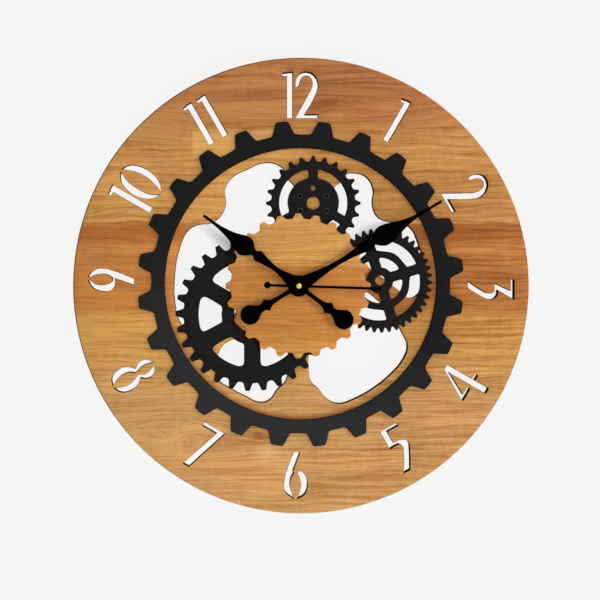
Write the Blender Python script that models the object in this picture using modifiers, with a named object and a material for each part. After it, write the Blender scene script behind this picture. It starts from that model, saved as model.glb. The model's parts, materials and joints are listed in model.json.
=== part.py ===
# Wooden wall clock: a sawn wooden disc with stencilled numerals and windows, black applied gears and a
# toothed ring, a wooden gear at the middle, spade hands, and a quartz movement behind the disc.
#
# Metres, +Z up. The front faces -Y, the wall is the plane Y = 0, and the hands' arbor is the line X = Z = 0.
# Every piece is drawn as seen from the front (x right, y up, z out from the wall) under the empty
# "wall_clock", which stands that drawing upright.

import bpy
import bmesh
from math import asin, cos, degrees, pi, radians, sin, tan
from mathutils import Matrix, Vector

# Clearances: between pieces that rest together, and around pieces that turn
GAP = 0.0003
RUN = 0.0003

# How far the solids of one piece run into one another before they are joined
BITE = 0.0002

# Wooden disc
DISC_RADIUS = 0.250
DISC_THICKNESS = 0.008
DISC_FROM_ARBOR = (0.0036, 0.0001)
NUMERAL_HEIGHT = 0.0526
NUMERAL_MARGIN = 0.0153

# Black applied pieces: the toothed ring and three gears, all sawn from one sheet. Turns are in degrees.
APPLIED_THICKNESS = 0.003

RING_CENTRE = (-0.0006, 0.0019)
RING_INNER_RADIUS = 0.1486
RING_BAND = 0.0152
RING_TOOTH_HEIGHT = 0.0146
RING_TEETH = 24
RING_TURN = 6.64

# The windows end this far inside the ring
WINDOW_MARGIN = 0.0099

# The gears' centres and root radii are shares of the ring's inner radius, which they fill, and the
# sprocket's bolt circle is a share of its root radius.
LARGE_CENTRE = (-0.35935, -0.2106)
LARGE_ROOT_SHARE = 0.50538
LARGE_TOOTH_HEIGHT = 0.0094
LARGE_TEETH = 29
LARGE_TURN = 5.6
LARGE_RIM = 0.0158
LARGE_HUB_RADIUS = 0.0335
LARGE_HOLE_RADIUS = 0.0205
LARGE_SPOKE_WIDTH = 0.0175
LARGE_SPOKES = 6
LARGE_SPOKE_TURN = 30
LARGE_SLOT_CORNER = 0.0045

SPROCKET_CENTRE = (0.0892, 0.607)
SPROCKET_ROOT_SHARE = 0.3082
SPROCKET_TOOTH_HEIGHT = 0.0069
SPROCKET_TEETH = 24
SPROCKET_RIM = 0.0081
SPROCKET_HUB_RADIUS = 0.0279
SPROCKET_HOLE_RADIUS = 0.0075
SPROCKET_SPOKE_WIDTH = 0.0095
SPROCKET_SPOKES = 3
SPROCKET_SPOKE_TURN = 90
SPROCKET_SLOT_CORNER = 0.0015
SPROCKET_BOLT_SHARE = 0.3581
SPROCKET_BOLT_HOLE = 0.0028
SPROCKET_BOLT_HOLES = 6

SMALL_CENTRE = (0.5812, 0.0383)
SMALL_ROOT_SHARE = 0.3506
SMALL_TOOTH_HEIGHT = 0.0056
SMALL_TEETH = 42
SMALL_TURN = -2.4
SMALL_RIM = 0.0078
SMALL_RING_RADIUS = 0.0250
SMALL_RING_WIDTH = 0.0080
SMALL_HUB_RADIUS = 0.0143
SMALL_HOLE_RADIUS = 0.0054
SMALL_SPOKE_WIDTH = 0.0108
SMALL_SPOKES = 4
SMALL_SPOKE_TURN = 17
SMALL_SLOT_CORNER = 0.0018

# Screws that hold the sprocket to the disc
SCREW_HEAD_RADIUS = 0.0024
SCREW_SHANK_RADIUS = 0.0011
SCREW_HEAD_HEIGHT = 0.0012

# Wooden gear at the middle
CENTRE_GEAR_THICKNESS = 0.003
CENTRE_GEAR_ROOT_SHARE = 0.4926
CENTRE_GEAR_TOOTH_HEIGHT = 0.0063
CENTRE_GEAR_TEETH = 24

# Hands
HAND_THICKNESS = 0.0006
HAND_HUB_RADIUS = 0.0115
MINUTE_HAND_LENGTH = 0.180
HOUR_HAND_LENGTH = 0.1285
HAND_TAIL_LENGTH = 0.0717
MINUTE_HAND_ANGLE = 30.7
HOUR_HAND_ANGLE = 143.4
SECOND_HAND_ANGLE = -1.8
HAND_SPACING = 0.0015
HAND_FROM_BUSHING = 0.001
MINUTE_NUT_RADIUS = 0.0029
MINUTE_NUT_THICKNESS = 0.0012
CAP_RADIUS = 0.0032
CAP_HEIGHT = 0.0018
CAP_SOCKET_DEPTH = 0.0005

# Movement case and its fixing
CASE_SIZE = 0.056
CASE_DEPTH = 0.0164
CASE_DROP = 0.0015
CASE_WALL = 0.0015
CASE_FRONT_WALL = 0.0012
CASE_CORNER = 0.003
COVER_THICKNESS = 0.0018
DIVIDER_THICKNESS = 0.001
LOOP_WIDTH = 0.018
LOOP_HEIGHT = 0.013
LOOP_HOLE_WIDTH = 0.008
LOOP_HOLE_RAISE = 0.0012
WASHER_RADIUS = 0.010
WASHER_THICKNESS = 0.0008
BUSHING_RADIUS = 0.004
BUSHING_BORE = 0.0028
BUSHING_FLANGE_RADIUS = 0.0065
BUSHING_FLANGE_THICKNESS = 0.001
BUSHING_PROUD = 0.001
NUT_ACROSS_FLATS = 0.013
NUT_THICKNESS = 0.002

# Battery, a round cell of the size called AA
BATTERY_RADIUS = 0.007
BATTERY_LENGTH = 0.0490
BATTERY_NUB_RADIUS = 0.0027
BATTERY_NUB_LENGTH = 0.0012
BATTERY_RIM = 0.0006
BAY_CLEARANCE = 0.0004
CONTACT_THICKNESS = 0.0004
CONTACT_WIDTH = 0.008
CONTACT_FOOT = 0.001
CONTACT_TAIL = 0.006
CONTACT_BEND_HALF = 0.004
CONTACT_TOUCH_HALF = 0.0005
CONTACT_NOTCH = CONTACT_THICKNESS + 3 * GAP

# Going train: arbors, wheels and pinions
SECONDS_ARBOR_RADIUS = 0.0006
MINUTE_PIPE_RADIUS = 0.0016
HOUR_PIPE_RADIUS = 0.0025
ARBOR_RADIUS = 0.0006
SETTING_ARBOR_RADIUS = 0.0010
KNOB_RADIUS = 0.0046
KNOB_THICKNESS = 0.0014
KNOB_GRIPS = 12
KNOB_GRIP_HALF_ANGLE = 8
KNOB_GRIP_DEPTH = 0.0006
WHEEL_THICKNESS = 0.0007
WHEEL_FROM_BACK = 0.0010
WHEEL_SPACING = 0.0008
HOUR_WHEEL_SPACING = 0.0011
PLATE_THICKNESS = 0.0012
PLATE_SPACING = 0.0006
PLATE_TOP = 0.0178

# Train teeth: height above and below the pitch circle, in modules
TOOTH_ABOVE = 0.9
TOOTH_BELOW = 1.15

SECONDS_WHEEL_TEETH = 48
SECONDS_PINION_TEETH = 8
THIRD_WHEEL_TEETH = 64
THIRD_PINION_TEETH = 8
CENTRE_WHEEL_TEETH = 60
CANNON_PINION_TEETH = 10
MINUTE_WHEEL_TEETH = 30
MINUTE_PINION_TEETH = 8
HOUR_WHEEL_TEETH = 32
IDLER_WHEEL_TEETH = 50
IDLER_PINION_TEETH = 8
ROTOR_PINION_TEETH = 10

THIRD_DISTANCE = 0.0125
THIRD_ANGLE = 20
IDLER_DISTANCE = 0.0124
IDLER_ANGLE = 165
ROTOR_DISTANCE = 0.0108
ROTOR_ANGLE = 98
SETTING_DISTANCE = 0.0125
SETTING_ANGLE = 90

# Stepping motor and circuit
STATOR_WIDTH = 0.024
COIL_LENGTH = 0.0159
ROTOR_MAGNET_RADIUS = 0.0031
STATOR_THICKNESS = 0.0008
STATOR_HOLE_RADIUS = 0.0036
COIL_RADIUS = 0.0031
COIL_WINDING_RADIUS = 0.0028
COIL_FLANGE = 0.0008
CORE_HEIGHT = 0.0018
BOARD_THICKNESS = 0.0010
CRYSTAL_RADIUS = 0.0010
CRYSTAL_LENGTH = 0.0060

# Depths from the wall, worked out piece on piece
CASE_BACK = COVER_THICKNESS + GAP
CASE_INSIDE_FRONT = CASE_DEPTH - CASE_FRONT_WALL
WASHER_BACK = CASE_DEPTH + GAP
DISC_BACK = WASHER_BACK + WASHER_THICKNESS + GAP
DISC_FRONT = DISC_BACK + DISC_THICKNESS
APPLIED_BACK = DISC_FRONT + GAP
APPLIED_FRONT = APPLIED_BACK + APPLIED_THICKNESS
CENTRE_GEAR_BACK = APPLIED_FRONT + GAP
CENTRE_GEAR_FRONT = CENTRE_GEAR_BACK + CENTRE_GEAR_THICKNESS
NUT_BACK = CENTRE_GEAR_FRONT + GAP
BUSHING_FRONT = NUT_BACK + NUT_THICKNESS + BUSHING_PROUD
HOUR_HAND_BACK = BUSHING_FRONT + HAND_FROM_BUSHING
MINUTE_HAND_BACK = HOUR_HAND_BACK + HAND_THICKNESS + HAND_SPACING
MINUTE_NUT_BACK = MINUTE_HAND_BACK + HAND_THICKNESS + GAP
MINUTE_PIPE_FRONT = MINUTE_NUT_BACK + MINUTE_NUT_THICKNESS + GAP
SECOND_HAND_BACK = MINUTE_PIPE_FRONT + GAP
CAP_BACK = SECOND_HAND_BACK + HAND_THICKNESS + GAP
SECONDS_ARBOR_FRONT = CAP_BACK + CAP_SOCKET_DEPTH

ARBOR_BACK = CASE_BACK + GAP
SECONDS_WHEEL_BACK = ARBOR_BACK + WHEEL_FROM_BACK
IDLER_WHEEL_BACK = SECONDS_WHEEL_BACK + WHEEL_THICKNESS + WHEEL_SPACING
THIRD_WHEEL_BACK = IDLER_WHEEL_BACK
CENTRE_WHEEL_BACK = THIRD_WHEEL_BACK + WHEEL_THICKNESS + WHEEL_SPACING
PLATE_BACK = CENTRE_WHEEL_BACK + WHEEL_THICKNESS + PLATE_SPACING
PLATE_FRONT = PLATE_BACK + PLATE_THICKNESS
MINUTE_WHEEL_BACK = PLATE_FRONT + WHEEL_SPACING
HOUR_WHEEL_BACK = MINUTE_WHEEL_BACK + WHEEL_THICKNESS + HOUR_WHEEL_SPACING

# Case limits around the arbor
CASE_HALF = CASE_SIZE / 2
CASE_TOP = CASE_HALF - CASE_DROP
CASE_BOTTOM = -CASE_HALF - CASE_DROP
BAY_BOTTOM = CASE_BOTTOM + CASE_WALL
BAY_TOP = BAY_BOTTOM + 2 * (BATTERY_RADIUS + BAY_CLEARANCE)
ROOM_BOTTOM = BAY_TOP + DIVIDER_THICKNESS
ROOM_TOP = CASE_TOP - CASE_WALL
ROOM_HALF = CASE_HALF - CASE_WALL
BATTERY_HEIGHT = (BAY_BOTTOM + BAY_TOP) / 2
BATTERY_HALF = (BATTERY_LENGTH + BATTERY_NUB_LENGTH) / 2
BATTERY_DEPTH = CASE_INSIDE_FRONT - GAP - BATTERY_RADIUS

# Outlines, each drawn to a size that is named here and made to the real size above.
# A point is (x, y) at a corner and (x, y, 1) where the line runs on smoothly.
WINDOW_REACH_DRAWN = 138.7
WINDOW_HUB_DRAWN = 57
NUMERAL_HEIGHT_DRAWN = 52.6
MINUTE_HAND_DRAWN = 180
HOUR_HAND_DRAWN = 128.5
HAND_TAIL_DRAWN = 72.3
STATOR_WIDTH_DRAWN = 24

# Teeth: from the middle of a tooth to its root, in shares of half a pitch and of the tooth's height
RING_TOOTH = [(0.227, 1), (0.307, 0.92), (0.547, 0.1), (0.64, 0)]
LARGE_TOOTH = [(0.209, 1), (0.532, 0.16), (0.725, 0)]
SPROCKET_TOOTH = [(0.067, 1), (0.267, 0.56), (0.507, 0.14), (0.773, 0)]
SMALL_TOOTH = [(0.163, 1), (0.583, 0.25), (0.817, 0)]
CENTRE_GEAR_TOOTH = [(0.187, 1), (0.587, 0.08), (0.707, 0)]
TRAIN_TOOTH = [(0, 1), (0.68, 0)]

# The windows are measured from the disc's centre; where one passes the hub, HUB stands for the hub's arc,
# given by its first and last angle in degrees.
HUB = "hub"

LEFT_WINDOW = [
    (-20, 129, 1), (-38, 135, 1), (-60, 127, 1), (-76, 118, 1), (-83.5, 104, 1), (-82, 92, 1),
    (-86, 79, 1), (-97, 69, 1), (-112, 66.7, 1), (-123, 61, 1), (-133, 41, 1), (-138.7, 8, 1),
    (-138, -20, 1), (-131.5, -42, 1), (-119, -51.5, 1), (-86, -40, 1), (-70.5, -29.5),
    (HUB, 202, 97), (-3, 70), (-3, 98, 1), (-7.5, 109.5, 1), (-14, 117, 1),
]
RIGHT_WINDOW = [
    (50, 122, 1), (60, 123.5, 1), (72, 119, 1), (79.5, 105, 1), (78.6, 91, 1), (83, 77, 1), (93, 70.7, 1),
    (110, 68.2, 1), (121.5, 62, 1), (128, 49, 1), (134, 28, 1), (134.6, 8, 1), (130, -7.5, 1),
    (120, -13.5, 1), (107, -5, 1), (91, 7.5, 1), (74, 20),
    (HUB, 30, 70), (31, 70), (31, 98, 1), (37.5, 108.5, 1), (43, 113, 1),
]
LOWER_LEFT_WINDOW = [
    (-73, -58.5, 1), (-84, -64.5, 1), (-91, -76, 1), (-94, -91, 1), (-90, -104, 1), (-78, -112.5, 1),
    (-60, -122, 1), (-45, -128.3, 1), (-34, -125, 1), (-26, -114, 1), (-17.5, -106, 1), (-14.5, -95, 1),
    (-14.5, -72), (HUB, 254, 228), (-50, -49),
]
LOWER_RIGHT_WINDOW = [
    (8.5, -72), (8.5, -92, 1), (11, -105, 1), (20, -114, 1), (30, -125.5, 1), (42, -129.5, 1),
    (58, -124.7, 1), (80, -112.5, 1), (100, -96, 1), (112, -81.5, 1), (117, -66, 1), (112, -53.5, 1),
    (103, -38, 1), (91, -22, 1), (72, -7.5), (HUB, -10, -74),
]

# Stencilled numerals, each stroke cut right through the disc, about the middle of the number.
ONE = [(0, -24.6), (6.2, -24.6), (6.2, 26), (0, 26), (0, 25.2), (-4.7, 25.2), (-4.7, 21.5), (0, 21.5)]
TWO = [
    (-10.8, 9.9), (-9.8, 18.5, 1), (-5, 24.9, 1), (1.5, 26.3, 1), (9.5, 22.6, 1), (14, 12.5, 1),
    (10, -0.8, 1), (-1.4, -20.7), (13.9, -20.7), (13.9, -24.7), (-10.9, -24.7), (-4.6, -13.4, 1),
    (3.2, 0.7, 1), (8, 13, 1), (3.6, 21.5, 1), (-3.6, 20.2, 1), (-7.5, 9.9),
]
THREE = [
    (-6.4, 25.7), (15.4, 25.7), (4.7, 7.4), (8.6, 7.6, 1), (13.6, 4.6, 1), (15, -0.8, 1), (13.4, -6.6, 1),
    (2.6, -25.2), (-5, -25.2), (7.2, -6.6, 1), (8.8, -1.7, 1), (6.9, 4), (-2.4, 4), (5.8, 22), (-6.4, 22),
]
FOUR = [
    (-1.2, 25.9), (5, 25.9), (5, -5.4), (11.6, -5.4), (11.6, -9), (5, -9), (5, -26.5), (-1.2, -26.5),
    (-1.2, 20.1), (-14.8, -5.4), (-5.3, -5.4), (-5.3, -9), (-20.3, -9), (-20.3, -6.6),
]
FIVE = [
    (-4.8, 25.7), (15.4, 25.7), (15.4, 22.1), (1.3, 22.1), (1.3, 7.9), (8.6, 7.3, 1), (14.9, 4, 1),
    (16.1, -0.6, 1), (13.2, -7.7, 1), (2.8, -26.5), (-5.2, -26.5), (6.9, -5.6, 1), (8.7, -0.2, 1),
    (5.8, 4), (-4.8, 4),
]
SIX_LEFT = [
    (-7.6, 25.7), (-12.9, 12.5, 1), (-18, -5, 1), (-17.4, -17.5, 1), (-7.9, -25.6), (-12, -13, 1),
    (-10.9, -2.4, 1), (-7.3, 3.1), (-9.2, 4), (-0.9, 25.7),
]
SIX_RIGHT = [
    (-4.3, 2.7), (-1.2, 4.7, 1), (4.8, -0.6, 1), (6.9, -10.5, 1), (3.6, -21.2, 1), (-4.2, -25.5),
    (-0.4, -15.5, 1), (-0.6, -5, 1),
]
SEVEN = [(-16.7, 25.6), (-16.7, 21.4), (1.3, 21.4), (-14.6, -25.2), (-7.2, -25.2), (9.1, 25.6)]
EIGHT_LEFT = [
    (-8.2, 25.7), (-14.6, 20.5, 1), (-15.3, 11, 1), (-11.4, 5.3), (-18.2, -1.8, 1), (-19.9, -11.5, 1),
    (-15.8, -22, 1), (-8, -25.4), (-12.9, -14.5, 1), (-12.2, -3, 1), (-8.1, 2.8), (-10.7, 13.5, 1),
]
EIGHT_RIGHT = [
    (-4.8, 25.2), (2.8, 20, 1), (3.6, 11, 1), (-0.7, 5.3), (4.7, -1.7, 1), (6.2, -10.5, 1), (2.3, -21.5, 1),
    (-5.1, -25.3), (-0.4, -14, 1), (-1.1, -3.5, 1), (-4.4, 4.5), (-1, 13.2, 1),
]
NINE = [
    (5.9, 25.2), (-2.2, 20, 1), (-6.2, 9, 1), (-4.4, -0.6, 1), (0.8, -4.1), (8, -4.1), (0.6, -25.2),
    (7.3, -25.2), (15.9, -3, 1), (18.7, 11, 1), (15.6, 20.8, 1), (9.6, 25.2), (9.6, 23.4),
    (12.6, 15, 1), (12.4, 4.5, 1), (8.6, -1.6), (4.2, -1.2), (0.9, 5.5, 1), (1.4, 17, 1), (5.9, 23.4),
]
ZERO_LEFT = [
    (9, 25.3), (0.3, 19.8, 1), (-4.7, 7.5, 1), (-4.7, -5.5, 1), (0, -17.5, 1), (8.8, -24.7),
    (3.6, -13.5, 1), (2.1, 0.3, 1), (3.8, 14, 1),
]
ZERO_RIGHT = [
    (12.1, 25.9), (20.4, 20.6, 1), (25.2, 8, 1), (24.9, -4.5, 1), (20.4, -16.6, 1), (12.3, -24.3),
    (17.1, -11.5, 1), (18.7, 1.4, 1), (16.8, 14.5, 1),
]
# hour: the number's turn in degrees, and its strokes as (outline, shift to the right)
NUMERALS = {
    12: (0, [(ONE, -15.3), (TWO, 4.9)]),
    1: (-30, [(ONE, -1.8)]),
    2: (-60, [(TWO, 0)]),
    3: (-90, [(THREE, 0)]),
    4: (60, [(FOUR, 0)]),
    5: (30, [(FIVE, 0)]),
    6: (0, [(SIX_LEFT, 0), (SIX_RIGHT, 0)]),
    7: (-30, [(SEVEN, 0)]),
    8: (-60, [(EIGHT_LEFT, 0), (EIGHT_RIGHT, 0)]),
    9: (90, [(NINE, 0)]),
    10: (60, [(ONE, -13.9), (ZERO_LEFT, 0), (ZERO_RIGHT, 0)]),
    11: (30, [(ONE, -10.1), (ONE, 7.1)]),
}

# One side of each hand from its tip to the hub, then of the tail, along the hand and out from its middle.
MINUTE_BLADE = [
    (180, 1.2), (179, 1.6), (152, 1.8, 1), (138, 3.4, 1), (124, 7.3, 1), (112, 10.7, 1), (104.5, 10.8, 1),
    (97.5, 7, 1), (93.6, 3.9, 1), (89.5, 7), (80, 5.3, 1), (65, 3.3, 1), (50, 2.7, 1), (28, 4.3, 1),
    (8.6, 7.6),
]
HOUR_BLADE = [
    (128.5, 1.1), (127.5, 1.5), (113, 1.8, 1), (101, 3, 1), (88, 6, 1), (78, 10, 1), (71, 10.8, 1),
    (65, 7.2, 1), (60, 3.5, 1), (55, 6.6), (44, 4.2, 1), (31, 2.7, 1), (19, 4.6, 1), (8.6, 7.6),
]
TAIL = [(-11.2, 2.6), (-30, 2.6, 1), (-36, 4, 1), (-40.5, 7.2), (-43.5, 5, 1), (-47, 4.1, 1), (-53.2, 6.9)]
TAIL_BALL = (-61.5, 10.8)
SECOND_NEEDLE_LENGTH = 0.088
SECOND_NEEDLE_HALF_WIDTH = 0.0012
SECOND_TAIL_LENGTH = 0.034
SECOND_TAIL_RADIUS = 0.0034
SECOND_HUB_RADIUS = 0.0045

# The stepping motor's stator, about the arbor
STATOR = [
    (-23.5, 9.5), (-8, 9.5), (-8, 12.8), (-5, 15.1), (0.5, 15.1), (0.5, 24.6), (-3, 24.6), (-3, 18.2),
    (-19.5, 18.2), (-19.5, 24.6), (-23.5, 24.6),
]
COIL_CENTRE = (-0.01125, 0.0216)
BOARD_CORNERS = ((0.0025, 0.0155), (0.0245, 0.0246))
CHIP_PLACE = (0.0075, 0.0205)
CHIP_RADIUS = 0.0030
CHIP_THICKNESS = 0.0008
CRYSTAL_PLACE = (0.0160, 0.0215)


def clear_scene():
    for old in list(bpy.data.objects):
        bpy.data.objects.remove(old, do_unlink=True)


def finish(name, colour, roughness, metallic=0.0):
    """A Principled material of one plain colour, given as red, green and blue."""
    made = bpy.data.materials.new(name)
    made.use_nodes = True
    shader = made.node_tree.nodes["Principled BSDF"]
    shader.inputs["Base Color"].default_value = (*colour, 1.0)
    shader.inputs["Roughness"].default_value = roughness
    shader.inputs["Metallic"].default_value = metallic
    made.diffuse_color = (*colour, 1.0)
    return made


def polar(radius, angle):
    """The point at a radius and an angle in degrees."""
    return (radius * cos(radians(angle)), radius * sin(radians(angle)))


def shifted(points, by):
    return [(p[0] + by[0], p[1] + by[1], *p[2:]) for p in points]


def turned(points, angle):
    """Points turned about the origin by an angle in degrees."""
    c = cos(radians(angle))
    s = sin(radians(angle))
    return [(c * p[0] - s * p[1], s * p[0] + c * p[1], *p[2:]) for p in points]


def to_size(points, size, drawn):
    """Points of a drawing, scaled so that what is drawn to one size has its real size."""
    scale = size / drawn
    return [(p[0] * scale, p[1] * scale, *p[2:]) for p in points]


def circle(radius, steps, centre=(0, 0)):
    return shifted([polar(radius, 360 * i / steps) for i in range(steps)], centre)


def arc(radius, first, last, steps):
    """Points along an arc about the origin, both ends included."""
    return [polar(radius, first + (last - first) * i / steps) for i in range(steps + 1)]


def rectangle(left, bottom, right, top):
    return [(left, bottom), (right, bottom), (right, top), (left, top)]


def rounded(points, radius, steps=2):
    """A polygon whose sharp corners, those that turn by over 40 degrees, are rounded."""
    out = []
    for i, p in enumerate(points):
        here = Vector(p)
        back = Vector(points[i - 1]) - here
        ahead = Vector(points[(i + 1) % len(points)]) - here
        between = back.angle(ahead)
        if between > radians(140):
            out.append(tuple(p))
            continue
        reach = radius / tan(between / 2)
        start = here + back.normalized() * reach
        end = here + ahead.normalized() * reach
        centre = here + (back.normalized() + ahead.normalized()).normalized() * (radius / sin(between / 2))
        for k in range(steps + 1):
            spread = start.lerp(end, k / steps) - centre
            out.append(tuple(centre + spread.normalized() * radius))
    return out


def toothed(teeth, root, height, half_tooth, turn=0):
    """A gear's outline: teeth of a height on a root radius, each drawn by its half."""
    points = []
    for i in range(teeth):
        middle = turn + 360 * i / teeth
        for share, rise in reversed(half_tooth):
            points.append(polar(root + rise * height, middle - share * 180 / teeth))
        for share, rise in half_tooth:
            if share > 0:
                points.append(polar(root + rise * height, middle + share * 180 / teeth))
    return points


def spoke_slots(inner, outer, spokes, spoke_width, first_spoke, corner, steps):
    """The slots between straight spokes, from an inner to an outer radius."""
    loops = []
    for i in range(spokes):
        start = first_spoke + 360 * i / spokes
        end = start + 360 / spokes
        outside = degrees(asin(spoke_width / 2 / outer))
        inside = degrees(asin(spoke_width / 2 / inner))
        loop = arc(outer, start + outside, end - outside, steps)
        loop += arc(inner, end - inside, start + inside, max(2, steps // 2))
        loops.append(rounded(loop, corner))
    return loops


def add_spline(curve, points, smooth_steps):
    """One closed line of a flat curve: straight between corners, and smooth through the other points."""
    if not any(len(p) > 2 for p in points):
        spline = curve.splines.new("POLY")
        spline.points.add(len(points) - 1)
        for knot, p in zip(spline.points, points):
            knot.co = (p[0], p[1], 0, 1)
    else:
        spline = curve.splines.new("BEZIER")
        spline.bezier_points.add(len(points) - 1)
        spline.resolution_u = smooth_steps
        for knot, p in zip(spline.bezier_points, points):
            kind = "AUTO" if len(p) > 2 else "VECTOR"
            knot.handle_left_type = kind
            knot.handle_right_type = kind
            knot.co = (p[0], p[1], 0)
    spline.use_cyclic_u = True


def flat(name, loops, back, thickness, material, at=(0, 0), turn=0, smooth_steps=3):
    """A sheet piece with holes, its back at a depth from the wall."""
    curve = bpy.data.curves.new(name, "CURVE")
    curve.dimensions = "2D"
    curve.fill_mode = "BOTH"
    curve.extrude = thickness / 2
    curve.resolution_u = smooth_steps
    for loop in loops:
        add_spline(curve, loop, smooth_steps)
    made = bpy.data.objects.new(name, curve)
    return place(made, (at[0], at[1], back + thickness / 2), material, turn)


def place(made, where, material, turn=0):
    """Puts a piece in the clock's drawing, at a place and a turn in degrees."""
    pieces.objects.link(made)
    made.parent = clock
    made.location = where
    made.rotation_euler = (0, 0, radians(turn))
    made.data.materials.append(material)
    return made


def as_mesh(made):
    """The same piece as a closed mesh, so that it can be joined and cut."""
    bpy.context.view_layer.update()
    shape = bpy.data.meshes.new_from_object(made.evaluated_get(bpy.context.evaluated_depsgraph_get()))
    name = made.name
    where = made.matrix_world.copy()
    finishes = [slot.material for slot in made.material_slots]
    bpy.data.objects.remove(made, do_unlink=True)
    work = bmesh.new()
    work.from_mesh(shape)
    bmesh.ops.remove_doubles(work, verts=work.verts, dist=0.000001)
    bmesh.ops.recalc_face_normals(work, faces=work.faces)
    work.to_mesh(shape)
    work.free()
    shape.materials.clear()
    for finish_used in finishes:
        shape.materials.append(finish_used)
    solid = bpy.data.objects.new(name, shape)
    pieces.objects.link(solid)
    solid.parent = clock
    solid.matrix_world = where
    solid.name = name
    return solid


def combined(base, others, operation):
    """The base piece, as a mesh, with the others joined to it or cut from it."""
    name = base.name
    base = as_mesh(base)
    tools = [as_mesh(other) for other in others]
    for tool in tools:
        step = base.modifiers.new(operation.lower(), "BOOLEAN")
        step.operation = operation
        step.solver = "EXACT"
        step.object = tool
    made = as_mesh(base)
    for tool in tools:
        bpy.data.objects.remove(tool, do_unlink=True)
    made.name = name
    return made


def rod(name, radius, back, front, material, at=(0, 0), steps=16):
    return flat(name, [circle(radius, steps)], back, front - back, material, at)


def lathe(name, profile, material, at=(0, 0), steps=32):
    """A turned piece: the profile is (radius, depth) from its front, down the outer side, to its back."""
    shape = bpy.data.meshes.new(name)
    edges = [(i, i + 1) for i in range(len(profile) - 1)]
    on_axis = profile[0][0] == 0
    if not on_axis:
        edges.append((len(profile) - 1, 0))
    shape.from_pydata([(r, 0, z) for r, z in profile], edges, [])
    made = bpy.data.objects.new(name, shape)
    place(made, (at[0], at[1], 0), material)
    screw = made.modifiers.new("turning", "SCREW")
    screw.steps = steps
    screw.render_steps = steps
    screw.use_merge_vertices = True
    screw.merge_threshold = 0.00001
    screw.use_smooth_shade = False
    return as_mesh(made)


def window(points):
    """A window's outline in metres about the arbor, with the hub's arcs worked out."""
    reach = RING_INNER_RADIUS - WINDOW_MARGIN
    hub = reach * WINDOW_HUB_DRAWN / WINDOW_REACH_DRAWN
    loop = []
    for p in points:
        if p[0] == HUB:
            loop += arc(hub, p[1], p[2], max(3, round(abs(p[2] - p[1]) / 12)))
        else:
            loop += shifted(to_size([p], reach, WINDOW_REACH_DRAWN), DISC_FROM_ARBOR)
    return loop


def numeral_strokes():
    loops = []
    radius = DISC_RADIUS - NUMERAL_MARGIN - NUMERAL_HEIGHT / 2
    for hour, (turn, strokes) in NUMERALS.items():
        middle = shifted([polar(radius, 90 - 30 * hour)], DISC_FROM_ARBOR)[0]
        for outline, shift in strokes:
            drawn = turned(shifted(outline, (shift, 0)), turn)
            loops.append(shifted(to_size(drawn, NUMERAL_HEIGHT, NUMERAL_HEIGHT_DRAWN), middle))
    return loops


def gear_place(centre):
    """A gear's centre about the arbor, from its place inside the ring."""
    x, y = (c * RING_INNER_RADIUS for c in centre)
    return (x + DISC_FROM_ARBOR[0], y + DISC_FROM_ARBOR[1])


def sprocket_screw_places():
    """The bolt circle's holes that hold a screw: all but the highest and the lowest."""
    centre = gear_place(SPROCKET_CENTRE)
    bolt_circle = SPROCKET_BOLT_SHARE * SPROCKET_ROOT_SHARE * RING_INNER_RADIUS
    places = []
    for i in range(SPROCKET_BOLT_HOLES):
        angle = 90 + 360 * i / SPROCKET_BOLT_HOLES
        if abs(cos(radians(angle))) > 0.5:
            places.append(shifted([polar(bolt_circle, angle)], centre)[0])
    return places


def make_disc():
    loops = [circle(DISC_RADIUS, 108, DISC_FROM_ARBOR)]
    loops += [window(w) for w in (LEFT_WINDOW, RIGHT_WINDOW, LOWER_LEFT_WINDOW, LOWER_RIGHT_WINDOW)]
    loops += numeral_strokes()
    loops.append(circle(BUSHING_RADIUS + GAP, 24))
    for place_of_screw in sprocket_screw_places():
        loops.append(circle(SCREW_SHANK_RADIUS + GAP, 8, place_of_screw))
    as_mesh(flat("dial_disc", loops, DISC_BACK, DISC_THICKNESS, oak))


def make_ring():
    root = RING_INNER_RADIUS + RING_BAND
    outline = toothed(RING_TEETH, root, RING_TOOTH_HEIGHT, RING_TOOTH, RING_TURN)
    loops = [outline, circle(RING_INNER_RADIUS, 80)]
    centre = (RING_CENTRE[0] + DISC_FROM_ARBOR[0], RING_CENTRE[1] + DISC_FROM_ARBOR[1])
    flat("toothed_ring", loops, APPLIED_BACK, APPLIED_THICKNESS, charcoal, centre)


def make_large_gear():
    centre = gear_place(LARGE_CENTRE)
    root = LARGE_ROOT_SHARE * RING_INNER_RADIUS
    outline = toothed(LARGE_TEETH, root, LARGE_TOOTH_HEIGHT, LARGE_TOOTH, LARGE_TURN)
    loops = [outline, circle(LARGE_HOLE_RADIUS, 30)]
    loops += spoke_slots(
        LARGE_HUB_RADIUS, root - LARGE_RIM, LARGE_SPOKES, LARGE_SPOKE_WIDTH, LARGE_SPOKE_TURN,
        LARGE_SLOT_CORNER, 4
    )
    loops.append(circle(BUSHING_RADIUS + GAP, 24, (-centre[0], -centre[1])))
    flat("large_gear", loops, APPLIED_BACK, APPLIED_THICKNESS, charcoal, centre)


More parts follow.
